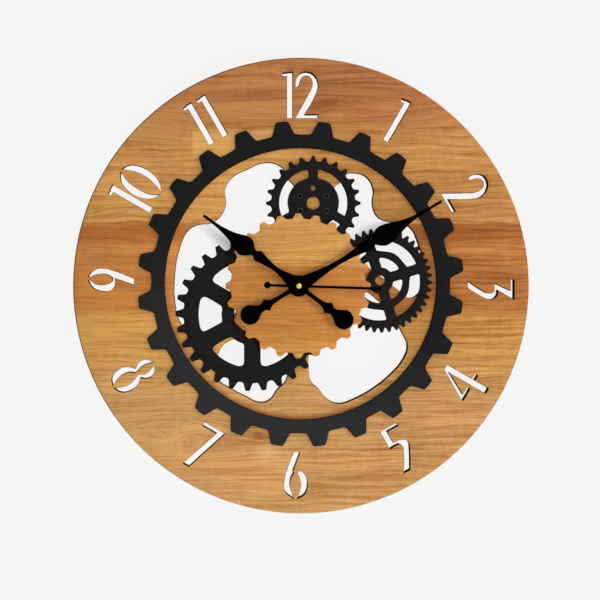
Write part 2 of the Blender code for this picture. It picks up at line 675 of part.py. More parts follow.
def make_sprocket():
    root = SPROCKET_ROOT_SHARE * RING_INNER_RADIUS
    outline = toothed(SPROCKET_TEETH, root, SPROCKET_TOOTH_HEIGHT, SPROCKET_TOOTH)
    loops = [outline, circle(SPROCKET_HOLE_RADIUS, 24)]
    loops += spoke_slots(
        SPROCKET_HUB_RADIUS, root - SPROCKET_RIM, SPROCKET_SPOKES, SPROCKET_SPOKE_WIDTH, SPROCKET_SPOKE_TURN,
        SPROCKET_SLOT_CORNER, 8
    )
    for i in range(SPROCKET_BOLT_HOLES):
        hole = polar(SPROCKET_BOLT_SHARE * root, 90 + 360 * i / SPROCKET_BOLT_HOLES)
        loops.append(circle(SPROCKET_BOLT_HOLE, 12, hole))
    flat("sprocket", loops, APPLIED_BACK, APPLIED_THICKNESS, charcoal, gear_place(SPROCKET_CENTRE))


def make_sprocket_screws():
    """Countersunk in their holes: the head lies level with the sprocket's face."""
    for i, where in enumerate(sprocket_screw_places()):
        profile = [
            (0, APPLIED_FRONT),
            (SCREW_HEAD_RADIUS, APPLIED_FRONT),
            (SCREW_HEAD_RADIUS, APPLIED_FRONT - SCREW_HEAD_HEIGHT),
            (SCREW_SHANK_RADIUS, APPLIED_BACK),
            (SCREW_SHANK_RADIUS, DISC_BACK + GAP),
            (0, DISC_BACK + GAP),
        ]
        lathe(f"sprocket_screw_{i + 1}", profile, black_steel, where, 12)


def make_small_gear():
    root = SMALL_ROOT_SHARE * RING_INNER_RADIUS
    outline = toothed(SMALL_TEETH, root, SMALL_TOOTH_HEIGHT, SMALL_TOOTH, SMALL_TURN)
    loops = [outline, circle(SMALL_HOLE_RADIUS, 20)]
    rows = [
        (SMALL_HUB_RADIUS, SMALL_RING_RADIUS),
        (SMALL_RING_RADIUS + SMALL_RING_WIDTH, root - SMALL_RIM),
    ]
    for inner, outer in rows:
        loops += spoke_slots(
            inner, outer, SMALL_SPOKES, SMALL_SPOKE_WIDTH, SMALL_SPOKE_TURN, SMALL_SLOT_CORNER, 4
        )
    flat("small_gear", loops, APPLIED_BACK, APPLIED_THICKNESS, charcoal, gear_place(SMALL_CENTRE))


def make_centre_gear():
    root = CENTRE_GEAR_ROOT_SHARE * RING_INNER_RADIUS
    outline = toothed(CENTRE_GEAR_TEETH, root, CENTRE_GEAR_TOOTH_HEIGHT, CENTRE_GEAR_TOOTH)
    hole = circle(BUSHING_RADIUS + GAP, 24)
    flat("centre_gear", [outline, hole], CENTRE_GEAR_BACK, CENTRE_GEAR_THICKNESS, oak)


def hand_outline(blade):
    """A spade hand: the blade, the hub's sides, the tail and its ball, the same on both sides."""
    ball_at, ball = TAIL_BALL
    neck = degrees(asin(TAIL[-1][1] / ball))
    tail = TAIL + [(*shifted([polar(ball, angle)], (ball_at, 0))[0], 1) for angle in (neck + 35, 120, 150)]
    tip = to_size([(ball_at - ball, 0, 1)], HAND_TAIL_LENGTH, HAND_TAIL_DRAWN)
    side = list(blade)
    side += [(*polar(HAND_HUB_RADIUS, angle), 1) for angle in (65, 90, 115, 140)]
    side += to_size(tail, HAND_TAIL_LENGTH, HAND_TAIL_DRAWN)
    other = [(p[0], -p[1], *p[2:]) for p in reversed(side)]
    return side + tip + other


def make_hands():
    hour_outline = hand_outline(to_size(HOUR_BLADE, HOUR_HAND_LENGTH, HOUR_HAND_DRAWN))
    flat(
        "hour_hand", [hour_outline, circle(HOUR_PIPE_RADIUS + GAP, 16)], HOUR_HAND_BACK,
        HAND_THICKNESS, hand_black, turn=HOUR_HAND_ANGLE
    )
    minute_outline = hand_outline(to_size(MINUTE_BLADE, MINUTE_HAND_LENGTH, MINUTE_HAND_DRAWN))
    flat(
        "minute_hand", [minute_outline, circle(MINUTE_PIPE_RADIUS + GAP, 16)], MINUTE_HAND_BACK,
        HAND_THICKNESS, hand_black, turn=MINUTE_HAND_ANGLE
    )
    flat(
        "minute_hand_nut",
        [circle(MINUTE_NUT_RADIUS, 6), circle(MINUTE_PIPE_RADIUS + GAP, 16)],
        MINUTE_NUT_BACK, MINUTE_NUT_THICKNESS, brass
    )
    hub_end = degrees(asin(SECOND_NEEDLE_HALF_WIDTH / SECOND_HUB_RADIUS))
    ball_end = degrees(asin(SECOND_NEEDLE_HALF_WIDTH / SECOND_TAIL_RADIUS))
    upper = arc(SECOND_HUB_RADIUS, hub_end, 180 - hub_end, 8)
    lower = arc(SECOND_HUB_RADIUS, 180 + hub_end, 360 - hub_end, 8)
    ball = shifted(arc(SECOND_TAIL_RADIUS, ball_end, 360 - ball_end, 16), (-SECOND_TAIL_LENGTH, 0))
    needle_end = [
        (SECOND_NEEDLE_LENGTH, -SECOND_NEEDLE_HALF_WIDTH),
        (SECOND_NEEDLE_LENGTH, SECOND_NEEDLE_HALF_WIDTH),
    ]
    flat(
        "second_hand", [upper + ball + lower + needle_end, circle(SECONDS_ARBOR_RADIUS + GAP, 12)],
        SECOND_HAND_BACK, HAND_THICKNESS, hand_black, turn=SECOND_HAND_ANGLE
    )
    socket = SECONDS_ARBOR_RADIUS + GAP
    dome = [(CAP_RADIUS * sin(radians(a)), CAP_BACK + CAP_HEIGHT * cos(radians(a))) for a in range(0, 91, 30)]
    profile = dome + [(socket, CAP_BACK), (socket, SECONDS_ARBOR_FRONT + GAP), (0, SECONDS_ARBOR_FRONT + GAP)]
    lathe("second_hand_cap", profile, brass, steps=16)


def make_fixing():
    """The threaded bushing, its nut and the rubber washer that clamp the movement to the disc."""
    flange_front = CASE_INSIDE_FRONT - GAP
    flange_back = flange_front - BUSHING_FLANGE_THICKNESS
    profile = [
        (BUSHING_BORE, BUSHING_FRONT),
        (BUSHING_RADIUS, BUSHING_FRONT),
        (BUSHING_RADIUS, flange_front),
        (BUSHING_FLANGE_RADIUS, flange_front),
        (BUSHING_FLANGE_RADIUS, flange_back),
        (BUSHING_BORE, flange_back),
    ]
    lathe("threaded_bushing", profile, brass, steps=24)
    hole = circle(BUSHING_RADIUS + GAP, 24)
    corner = NUT_ACROSS_FLATS / 2 / cos(pi / 6)
    flat("bushing_nut", [circle(corner, 6), hole], NUT_BACK, NUT_THICKNESS, brass)
    flat("rubber_washer", [circle(WASHER_RADIUS, 24), hole], WASHER_BACK, WASHER_THICKNESS, rubber)


def make_case():
    outline = rounded(rectangle(-CASE_HALF, CASE_BOTTOM, CASE_HALF, CASE_TOP), CASE_CORNER, 3)
    body = flat("movement_case", [outline], CASE_BACK, CASE_DEPTH - CASE_BACK, case_black)
    inside = CASE_INSIDE_FRONT - CASE_BACK + GAP
    room = rectangle(-ROOM_HALF, ROOM_BOTTOM, ROOM_HALF, ROOM_TOP)
    bay = rectangle(-ROOM_HALF, BAY_BOTTOM, ROOM_HALF, BAY_TOP)
    cuts = [
        flat("room_cut", [room], CASE_BACK - GAP, inside, case_black),
        flat("bay_cut", [bay], CASE_BACK - GAP, inside, case_black),
        rod("bushing_cut", BUSHING_RADIUS + GAP, CASE_INSIDE_FRONT - 2 * GAP, CASE_DEPTH + GAP, case_black,
            steps=24),
    ]
    for side in (-1, 1):
        ends = sorted((side * (ROOM_HALF - CONTACT_NOTCH), side * (ROOM_HALF + GAP)))
        slot = rectangle(ends[0], BAY_TOP - GAP, ends[1], ROOM_BOTTOM + GAP)
        back = BATTERY_DEPTH - CONTACT_WIDTH / 2 - GAP
        cuts.append(flat("contact_cut", [slot], back, CONTACT_WIDTH + 2 * GAP, case_black))
    combined(body, cuts, "DIFFERENCE")


def make_cover():
    """The back cover: the hanging loop at its top, the open battery bay and the setting knob's hole."""
    half = LOOP_WIDTH / 2
    foot = CASE_TOP
    head = CASE_TOP + LOOP_HEIGHT
    outline = [(-CASE_HALF, CASE_BOTTOM), (CASE_HALF, CASE_BOTTOM), (CASE_HALF, foot), (half, foot)]
    outline += shifted(arc(half, 0, 180, 12), (0, head - half))
    outline += [(-half, foot), (-CASE_HALF, foot)]
    outline = rounded(outline, CASE_CORNER)
    hole_half = LOOP_HOLE_WIDTH / 2
    nail_hole = shifted(arc(hole_half, 0, 180, 8), (0, head - half))
    nail_hole += [(-hole_half, foot + LOOP_HOLE_RAISE), (hole_half, foot + LOOP_HOLE_RAISE)]
    bay = rectangle(-BATTERY_HALF - RUN, BAY_BOTTOM, BATTERY_HALF + RUN, BAY_TOP)
    loops = [outline, nail_hole, bay]
    loops.append(circle(KNOB_RADIUS + RUN, 32, polar(SETTING_DISTANCE, SETTING_ANGLE)))
    flat("back_cover", loops, 0, COVER_THICKNESS, case_black)


def make_battery():
    """The cell lies across the bay, its plus end to the right."""
    shoulder = BATTERY_HALF - BATTERY_NUB_LENGTH
    profile = [
        (0, BATTERY_HALF),
        (BATTERY_NUB_RADIUS, BATTERY_HALF),
        (BATTERY_NUB_RADIUS, shoulder),
        (BATTERY_RADIUS - BATTERY_RIM, shoulder),
        (BATTERY_RADIUS, shoulder - BATTERY_RIM),
        (BATTERY_RADIUS, -BATTERY_HALF),
        (0, -BATTERY_HALF),
    ]
    cell = lathe("battery", profile, battery_wrap, steps=24)
    # the lathe turns about the line out of the wall, so the cell is laid over to the right
    cell.data.transform(Matrix.Rotation(pi / 2, 4, "Y"))
    cell.location = (0, BATTERY_HEIGHT, BATTERY_DEPTH)


def make_contacts():
    """Spring plates at the bay's ends, each with a tail up through the case's notch."""
    back = BATTERY_DEPTH - CONTACT_WIDTH / 2
    wall = ROOM_HALF - GAP
    inner = wall - CONTACT_THICKNESS
    touch = BATTERY_HALF + GAP
    low = BAY_BOTTOM + CONTACT_FOOT
    high = ROOM_BOTTOM + CONTACT_TAIL
    for side, name in ((1, "plus_contact"), (-1, "minus_contact")):
        outline = [
            (wall, low), (wall, high), (inner, high),
            (inner, BATTERY_HEIGHT + CONTACT_BEND_HALF), (touch, BATTERY_HEIGHT + CONTACT_TOUCH_HALF),
            (touch, BATTERY_HEIGHT - CONTACT_TOUCH_HALF), (inner, BATTERY_HEIGHT - CONTACT_BEND_HALF),
            (inner, low),
        ]
        outline = [(side * p[0], p[1]) for p in outline]
        flat(name, [outline], back, CONTACT_WIDTH, spring_steel)


def module_of(distance, teeth, other_teeth):
    """The size of tooth with which two gears mesh at a distance."""
    return 2 * distance / (teeth + other_teeth)


def train_gear(teeth, module, turn):
    """A wheel's outline with slim pointed teeth, which run free of their neighbours."""
    root = module * teeth / 2 - TOOTH_BELOW * module
    return toothed(teeth, root, (TOOTH_ABOVE + TOOTH_BELOW) * module, TRAIN_TOOTH, turn)


def mesh_turns(angle, other_teeth):
    """The turns of two gears in mesh along a line: a tooth of the first, a gap of the other."""
    return angle, angle + 180 + 180 / other_teeth


def make_train():
    """Rotor, idler, seconds, third and centre wheels, then the motion work to the hour pipe."""
    third = polar(THIRD_DISTANCE, THIRD_ANGLE)
    idler = polar(IDLER_DISTANCE, IDLER_ANGLE)
    rotor = shifted([polar(ROTOR_DISTANCE, ROTOR_ANGLE)], idler)[0]
    setting = polar(SETTING_DISTANCE, SETTING_ANGLE)

    seconds_to_idler = module_of(IDLER_DISTANCE, SECONDS_WHEEL_TEETH, IDLER_PINION_TEETH)
    idler_to_rotor = module_of(ROTOR_DISTANCE, IDLER_WHEEL_TEETH, ROTOR_PINION_TEETH)
    third_to_seconds = module_of(THIRD_DISTANCE, THIRD_WHEEL_TEETH, SECONDS_PINION_TEETH)
    centre_to_third = module_of(THIRD_DISTANCE, CENTRE_WHEEL_TEETH, THIRD_PINION_TEETH)
    minute_to_cannon = module_of(SETTING_DISTANCE, MINUTE_WHEEL_TEETH, CANNON_PINION_TEETH)
    hour_to_minute = module_of(SETTING_DISTANCE, HOUR_WHEEL_TEETH, MINUTE_PINION_TEETH)

    seconds_turn, idler_pinion_turn = mesh_turns(IDLER_ANGLE, IDLER_PINION_TEETH)
    idler_turn, rotor_turn = mesh_turns(ROTOR_ANGLE, ROTOR_PINION_TEETH)
    third_turn, seconds_pinion_turn = mesh_turns(THIRD_ANGLE + 180, SECONDS_PINION_TEETH)
    centre_turn, third_pinion_turn = mesh_turns(THIRD_ANGLE, THIRD_PINION_TEETH)
    minute_turn, cannon_turn = mesh_turns(SETTING_ANGLE + 180, CANNON_PINION_TEETH)
    hour_turn, minute_pinion_turn = mesh_turns(SETTING_ANGLE, MINUTE_PINION_TEETH)

    def wheel(name, teeth, module, turn, back, at, material):
        return flat(name, [train_gear(teeth, module, turn)], back, WHEEL_THICKNESS, material, at)

    def pinion(teeth, module, turn, back, front, at, material):
        return flat("pinion", [train_gear(teeth, module, turn)], back, front - back, material, at)

    seconds = wheel("seconds_wheel", SECONDS_WHEEL_TEETH, seconds_to_idler, seconds_turn,
                    SECONDS_WHEEL_BACK, (0, 0), nylon)
    combined(seconds, [
        pinion(SECONDS_PINION_TEETH, third_to_seconds, seconds_pinion_turn,
               SECONDS_WHEEL_BACK + BITE, THIRD_WHEEL_BACK + WHEEL_THICKNESS + BITE, (0, 0), nylon),
        rod("arbor", SECONDS_ARBOR_RADIUS, ARBOR_BACK, SECONDS_ARBOR_FRONT, nylon, steps=12),
    ], "UNION")

    idler_wheel = wheel("idler_wheel", IDLER_WHEEL_TEETH, idler_to_rotor, idler_turn,
                        IDLER_WHEEL_BACK, idler, nylon)
    combined(idler_wheel, [
        pinion(IDLER_PINION_TEETH, seconds_to_idler, idler_pinion_turn,
               SECONDS_WHEEL_BACK - BITE, IDLER_WHEEL_BACK + BITE, idler, nylon),
        rod("arbor", ARBOR_RADIUS, ARBOR_BACK, PLATE_FRONT - GAP, nylon, idler, 8),
    ], "UNION")

    third_wheel = wheel("third_wheel", THIRD_WHEEL_TEETH, third_to_seconds, third_turn,
                        THIRD_WHEEL_BACK, third, nylon)
    combined(third_wheel, [
        pinion(THIRD_PINION_TEETH, centre_to_third, third_pinion_turn,
               THIRD_WHEEL_BACK + BITE, CENTRE_WHEEL_BACK + WHEEL_THICKNESS + BITE, third, nylon),
        rod("arbor", ARBOR_RADIUS, ARBOR_BACK, PLATE_FRONT - GAP, nylon, third, 8),
    ], "UNION")

    centre = wheel("centre_wheel", CENTRE_WHEEL_TEETH, centre_to_third, centre_turn,
                   CENTRE_WHEEL_BACK, (0, 0), nylon)
    centre = combined(centre, [
        pinion(CANNON_PINION_TEETH, minute_to_cannon, cannon_turn,
               PLATE_FRONT + GAP, MINUTE_WHEEL_BACK + WHEEL_THICKNESS + BITE, (0, 0), nylon),
        rod("pipe", MINUTE_PIPE_RADIUS, CENTRE_WHEEL_BACK - BITE, MINUTE_PIPE_FRONT, nylon),
    ], "UNION")
    bore = rod("bore", SECONDS_ARBOR_RADIUS + RUN, CENTRE_WHEEL_BACK - GAP, MINUTE_PIPE_FRONT + GAP, nylon,
               steps=12)
    combined(centre, [bore], "DIFFERENCE")

    minute_wheel = wheel("minute_wheel", MINUTE_WHEEL_TEETH, minute_to_cannon, minute_turn,
                         MINUTE_WHEEL_BACK, setting, nylon)
    combined(minute_wheel, [
        pinion(MINUTE_PINION_TEETH, hour_to_minute, minute_pinion_turn,
               MINUTE_WHEEL_BACK + BITE, HOUR_WHEEL_BACK + WHEEL_THICKNESS + BITE, setting, nylon),
        rod("arbor", SETTING_ARBOR_RADIUS, KNOB_THICKNESS + 2 * GAP, CASE_INSIDE_FRONT - GAP, nylon,
            setting, 12),
    ], "UNION")

    hour = wheel("hour_wheel", HOUR_WHEEL_TEETH, hour_to_minute, hour_turn, HOUR_WHEEL_BACK, (0, 0), nylon)
    hour = combined(hour, [
        rod("pipe", HOUR_PIPE_RADIUS, HOUR_WHEEL_BACK - BITE, HOUR_HAND_BACK + HAND_THICKNESS + GAP, nylon),
    ], "UNION")
    bore = rod("bore", MINUTE_PIPE_RADIUS + RUN, HOUR_WHEEL_BACK - GAP,
               HOUR_HAND_BACK + HAND_THICKNESS + 2 * GAP, nylon)
    combined(hour, [bore], "DIFFERENCE")

    magnet_back = CENTRE_WHEEL_BACK - GAP
    rotor_wheel = rod("rotor", ROTOR_MAGNET_RADIUS, magnet_back, PLATE_BACK - GAP, ferrite, rotor, 20)
    combined(rotor_wheel, [
        pinion(ROTOR_PINION_TEETH, idler_to_rotor, rotor_turn,
               IDLER_WHEEL_BACK - BITE, magnet_back + BITE, rotor, nylon),
        rod("arbor", ARBOR_RADIUS, ARBOR_BACK, PLATE_FRONT - GAP, nylon, rotor, 8),
    ], "UNION")

    grips = []
    for i in range(KNOB_GRIPS):
        middle = 360 * i / KNOB_GRIPS
        grips.append(polar(KNOB_RADIUS, middle - KNOB_GRIP_HALF_ANGLE))
        grips.append(polar(KNOB_RADIUS, middle + KNOB_GRIP_HALF_ANGLE))
        grips.append(polar(KNOB_RADIUS - KNOB_GRIP_DEPTH, middle + 180 / KNOB_GRIPS))
    flat("setting_knob", [grips], GAP, KNOB_THICKNESS, knob_grey, setting)

    side = ROOM_HALF - GAP
    notch = ROOM_HALF - CONTACT_NOTCH
    low = ROOM_BOTTOM + GAP
    step = ROOM_BOTTOM + CONTACT_TAIL + GAP
    plate = [(-notch, low), (notch, low), (notch, step), (side, step), (side, PLATE_TOP), (-side, PLATE_TOP)]
    plate += [(-side, step), (-notch, step)]
    holes = [circle(MINUTE_PIPE_RADIUS + RUN, 16), circle(SETTING_ARBOR_RADIUS + RUN, 12, setting)]
    holes += [circle(ARBOR_RADIUS + RUN, 12, where) for where in (third, idler, rotor)]
    flat("train_plate", [plate] + holes, PLATE_BACK, PLATE_THICKNESS, plate_white)

    stator_back = PLATE_BACK - GAP - STATOR_THICKNESS
    outline = to_size(STATOR, STATOR_WIDTH, STATOR_WIDTH_DRAWN)
    flat("stator", [outline, circle(STATOR_HOLE_RADIUS, 20, rotor)], stator_back, STATOR_THICKNESS, iron)
    make_coil(outline, stator_back)
    make_circuit()


def make_coil(stator_outline, stator_back):
    """The bobbin between the stator's arms, and the flat core that runs through it behind them."""
    core_front = stator_back - GAP
    core_back = core_front - STATOR_THICKNESS
    left = min(p[0] for p in stator_outline)
    right = max(p[0] for p in stator_outline)
    middle, height = COIL_CENTRE
    low = height - CORE_HEIGHT / 2
    core = rectangle(left, low, right, low + CORE_HEIGHT)
    flat("coil_core", [core], core_back, STATOR_THICKNESS, iron)
    start = middle - COIL_LENGTH / 2
    end = middle + COIL_LENGTH / 2
    profile = [
        (0, end), (COIL_RADIUS, end), (COIL_RADIUS, end - COIL_FLANGE),
        (COIL_WINDING_RADIUS, end - COIL_FLANGE), (COIL_WINDING_RADIUS, start + COIL_FLANGE),
        (COIL_RADIUS, start + COIL_FLANGE), (COIL_RADIUS, start), (0, start),
    ]
    coil = lathe("coil", profile, copper, steps=16)
    coil.data.transform(Matrix.Rotation(pi / 2, 4, "Y"))
    coil.location = (0, height, (core_front + core_back) / 2)
    passage = rectangle(start - GAP, low - GAP, end + GAP, low + CORE_HEIGHT + GAP)
    cut = flat("core_cut", [passage], core_back - GAP, STATOR_THICKNESS + 2 * GAP, copper)
    combined(coil, [cut], "DIFFERENCE")


def make_circuit():
    board_back = PLATE_BACK - GAP - BOARD_THICKNESS
    (left, bottom), (right, top) = BOARD_CORNERS
    flat("circuit_board", [rectangle(left, bottom, right, top)], board_back, BOARD_THICKNESS, board_green)
    flat("timing_chip", [circle(CHIP_RADIUS, 16)], board_back - GAP - CHIP_THICKNESS, CHIP_THICKNESS,
         case_black, CHIP_PLACE)
    can = lathe("crystal_can", [
        (0, CRYSTAL_LENGTH / 2), (CRYSTAL_RADIUS, CRYSTAL_LENGTH / 2),
        (CRYSTAL_RADIUS, -CRYSTAL_LENGTH / 2), (0, -CRYSTAL_LENGTH / 2),
    ], spring_steel, steps=12)
    can.data.transform(Matrix.Rotation(pi / 2, 4, "Y"))
    can.location = (*CRYSTAL_PLACE, board_back - GAP - CRYSTAL_RADIUS)


clear_scene()
pieces = bpy.data.collections.new("wall_clock_pieces")
bpy.context.scene.collection.children.link(pieces)
clock = bpy.data.objects.new("wall_clock", None)
pieces.objects.link(clock)
# the drawing's x, y and z become the room's X, Z and -Y
clock.rotation_euler = (pi / 2, 0, 0)

oak = finish("honey_oak", (0.62, 0.36, 0.14), 0.5)
charcoal = finish("charcoal_board", (0.022, 0.022, 0.024), 0.6)
black_steel = finish("black_steel", (0.012, 0.012, 0.012), 0.35, 0.6)
hand_black = finish("black_enamel", (0.006, 0.006, 0.006), 0.4)
brass = finish("brass", (0.80, 0.62, 0.22), 0.25, 1.0)
rubber = finish("rubber", (0.02, 0.02, 0.02), 0.8)
case_black = finish("black_plastic", (0.02, 0.02, 0.022), 0.45)
knob_grey = finish("grey_plastic", (0.25, 0.25, 0.26), 0.45)
nylon = finish("white_nylon", (0.75, 0.75, 0.72), 0.4)
plate_white = finish("white_plastic", (0.62, 0.62, 0.60), 0.45)
ferrite = finish("ferrite", (0.08, 0.08, 0.085), 0.4, 0.4)
iron = finish("soft_iron", (0.45, 0.45, 0.46), 0.35, 1.0)
copper = finish("copper_wire", (0.72, 0.30, 0.14), 0.35, 1.0)
spring_steel = finish("spring_steel", (0.62, 0.62, 0.62), 0.25, 1.0)
board_green = finish("circuit_green", (0.05, 0.22, 0.09), 0.5)
battery_wrap = finish("battery_wrap", (0.10, 0.20, 0.42), 0.35)

make_disc()
make_ring()
make_large_gear()
make_sprocket()
make_sprocket_screws()
make_small_gear()
make_centre_gear()
make_hands()
make_fixing()
make_case()
make_cover()
make_battery()
make_contacts()
make_train()
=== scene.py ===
"""Looks of the wooden wall clock: a laser-cut dial board, painted gears, black spade hands and a movement.

Metres, +Z up. The front faces -Y, the wall is the plane Y = 0 and the hands turn about the line X = Z = 0.
"""

import json
from math import acos, ceil, cos, degrees, pi, radians, sin

import bmesh
import bpy
from mathutils import Matrix, Vector

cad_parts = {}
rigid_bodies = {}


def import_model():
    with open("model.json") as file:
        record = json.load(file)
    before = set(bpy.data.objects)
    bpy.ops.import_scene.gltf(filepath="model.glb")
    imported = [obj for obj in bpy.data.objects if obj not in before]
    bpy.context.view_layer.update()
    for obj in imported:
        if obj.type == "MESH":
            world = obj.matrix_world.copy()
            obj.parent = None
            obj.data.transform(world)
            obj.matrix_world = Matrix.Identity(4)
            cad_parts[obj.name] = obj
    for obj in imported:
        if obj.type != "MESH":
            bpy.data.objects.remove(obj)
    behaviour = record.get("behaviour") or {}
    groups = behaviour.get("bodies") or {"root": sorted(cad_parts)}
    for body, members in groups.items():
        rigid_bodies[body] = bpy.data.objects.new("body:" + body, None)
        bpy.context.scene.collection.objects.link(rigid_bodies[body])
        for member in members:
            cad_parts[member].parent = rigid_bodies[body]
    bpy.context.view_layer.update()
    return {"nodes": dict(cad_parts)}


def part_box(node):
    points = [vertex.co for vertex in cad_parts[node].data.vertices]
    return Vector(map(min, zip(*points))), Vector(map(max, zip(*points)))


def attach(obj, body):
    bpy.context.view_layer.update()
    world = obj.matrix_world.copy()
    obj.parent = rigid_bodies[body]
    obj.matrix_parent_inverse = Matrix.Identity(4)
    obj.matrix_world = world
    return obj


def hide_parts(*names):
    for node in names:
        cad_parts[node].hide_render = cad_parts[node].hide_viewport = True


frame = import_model()
nodes = frame["nodes"]

MM = 0.001
BODY = "clock"

# Where the camera stood, and the part of the picture that it takes in
CAMERA_PLACE = (-0.0814, -1.0258, 0.0301)
CAMERA_LENS = 54.70
CAMERA_SENSOR = 36
CAMERA_SHIFT = (0.1275, -0.0696)

# Stage. The wall glows by itself, and the wall lamp adds the share that the hands' shadows take away again.
WALL_PLACE = 0.5 * MM
WALL_HALF = 1.5
FLOOR_HEIGHT = -0.60
FLOOR_HALF = 3.0
BACKGROUND = "#f6f6f6"
WALL_ALBEDO = 0.1
WALL_SHADOW = 0.55
WALL_BOUNCE = 0.28

# Lamps: the degrees they stand to the right of the front and above it, and how wide their disc is in radians.
# The key lamp and the ambient light together light a face that looks forward at a strength of 1.
KEY_FROM_FRONT = 42
KEY_RISE = 28
KEY_SPREAD = 0.34
KEY_SHARE = 0.60
SIDE_FROM_FRONT = 61
SIDE_RISE = 8
SIDE_SPREAD = 0.40
SIDE_SHARE = 0.40
AMBIENT = 0.44
WALL_LAMP_TOWARDS = (-0.295, 1, -0.056)
BACK_LAMP = 1.125
BACK_LAMP_TOWARDS = (-0.45, -0.8, -0.55)
BACK_SPREAD = 0.5

# Edges of the flat pieces, the turn in degrees from which a bend is a corner, and the turn of a curve's step
BOARD_EDGE = 0.35 * MM
PAINTED_EDGE = 0.30 * MM
HAND_EDGE = 0.12 * MM
CORNER_TURN = 50
STEP_TURN = 8

# Teeth: how far under the outermost circle a corner still belongs to a tip, the greatest share of a flank
# that the rounding takes, and how many times the cut it reaches down
TIP_BAND = 0.5 * MM
FLANK_SHARE = 0.55
CUT_TIMES = 1.3
# Outlines of a gear: smaller than the first radius is a bolt hole, larger than the second the toothed edge
HOLE_RADIUS = 6 * MM
TOOTHED_RADIUS = 40 * MM

# Corners round a turned piece, and steps up a dome
TURNED_STEPS = 48
DOME_STEPS = 12

# Middles and radii of the dial and of the ring on it
dial_low, dial_high = (Vector(corner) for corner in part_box("dial_disc"))
dial_middle = (dial_low + dial_high) / 2
dial_radius = (dial_high.x - dial_low.x) / 2
ring_low, ring_high = (Vector(corner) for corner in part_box("toothed_ring"))
ring_middle = (ring_low + ring_high) / 2
RING_HOLE = 148.6 * MM


def linear(hex_colour):
    """A colour written as sRGB hex, as the linear values that a shader takes."""
    parts = [int(hex_colour[i:i + 2], 16) / 255 for i in (1, 3, 5)]
    return tuple(c / 12.92 if c <= 0.04045 else ((c + 0.055) / 1.055) ** 2.4 for c in parts) + (1.0,)


def add(tree, kind, *values, named=None, stops=(), output=0, **settings):
    """Adds one shader node with its settings and colour stops, and returns one of its outputs. Values and
    links go to its sockets in turn, or to those named."""
    made = tree.nodes.new("ShaderNode" + kind)
    for name, setting in settings.items():
        setattr(made, name, setting)
    for place, value in [*enumerate(values), *(named or {}).items()]:
        socket = made.inputs[place]
        if isinstance(value, bpy.types.NodeSocket):
            tree.links.new(value, socket)
        else:
            socket.default_value = value
    for i, (place, colour) in enumerate(stops):
        points = made.color_ramp.elements
        point = points[i] if i < 2 else points.new(place)
        point.position = place
        point.color = colour
    return made.outputs[output] if made.outputs else None


def new_material(name):
    """An empty material and its tree."""
    material = bpy.data.materials.new(name)
    material.use_nodes = True
    material.node_tree.nodes.clear()
    return material, material.node_tree


def surface(tree, colour, roughness, relief=None, relief_mm=0.0, relief_strength=1.0, **constants):
    """Ends a material in the principled shader, with a relief so many millimetres deep."""
    sockets = {"Base Color": colour, "Roughness": roughness}
    for name, value in constants.items():
        sockets[name.replace("_", " ")] = value
    if relief is not None:
        sockets["Normal"] = add(tree, "Bump", named={"Height": relief, "Distance": relief_mm * MM,
                                                     "Strength": relief_strength})
    add(tree, "OutputMaterial", add(tree, "BsdfPrincipled", named=sockets))


def spots(tree, place, lengths_mm, detail=2.0, rough=0.5, shift=(0, 0, 0)):
    """Soft random spots from 0 to 1, about five to each of the given lengths in mm along X, Y and Z."""
    scale = tuple(1 / (length * MM) for length in lengths_mm)
    scaled = add(tree, "Mapping", place, named={"Scale": scale, "Location": shift})
    return add(tree, "TexNoise", named={"Vector": scaled, "Detail": detail, "Roughness": rough})


# Wood

# The face of the dial is one sheet of laminated board, strips of which differ in tone. Height above the
# arbor in millimetres, and the strip's tone there.
PALE_OAK = "#bf935c"
HONEY_OAK = "#c1914e"
BROWN_OAK = "#b3763c"
DARK_OAK = "#ad7038"
TAN_OAK = "#b97c42"
UMBER_OAK = "#a4642f"
GOLD_OAK = "#be8c4e"
RED_OAK = "#ac7446"
DIAL_STRIPS = [
    (-250, PALE_OAK), (-120, PALE_OAK), (-62, HONEY_OAK), (-36, HONEY_OAK), (-24, BROWN_OAK), (12, DARK_OAK),
    (24, BROWN_OAK), (42, TAN_OAK), (52, UMBER_OAK), (66, UMBER_OAK), (70, GOLD_OAK), (150, GOLD_OAK),
    (208, RED_OAK),
]
GEAR_STRIPS = [
    (-80, "#c9924f"), (-50, "#c08342"), (14, "#bb7e40"), (20, "#bc8044"), (26, "#c99553"), (80, "#ca9858"),
]

# Knots: across and up from the arbor in millimetres, half height, and how much longer than high
DIAL_KNOTS = [(-39, -163, 7, 2.4), (-8, 234, 4, 2.8), (-138, -166, 15, 3.2), (64, 198, 12, 4)]
GEAR_KNOTS = [(62, -8, 8, 2.6)]
# Stains: as a knot, then the colour and its greatest share
DIAL_STAINS = [
    (-42, -163, 5, 3.0, "#7d3f22", 0.62), (-33, -181, 8, 1.5, "#d6b07a", 0.42),
    (-8, 234, 3, 2.6, "#6e3a1e", 0.6), (-30, 208, 5, 9.0, "#8a4c2a", 0.36),
    (25, 196, 4, 10.0, "#8e5230", 0.30), (-120, 180, 5, 6.0, "#8f5430", 0.28),
    (150, 176, 4, 7.0, "#935a33", 0.26), (-205, 25, 6, 5.0, "#8f5228", 0.28),
    (210, -30, 5, 6.0, "#94592c", 0.26), (-150, -90, 4, 7.0, "#96602f", 0.24),
    (120, -176, 4, 8.0, "#9a6636", 0.24),
]
GEAR_STAINS = [(62, -8, 5, 3.0, "#8a4c22", 0.3), (-40, -16, 4, 6.0, "#94562a", 0.26)]
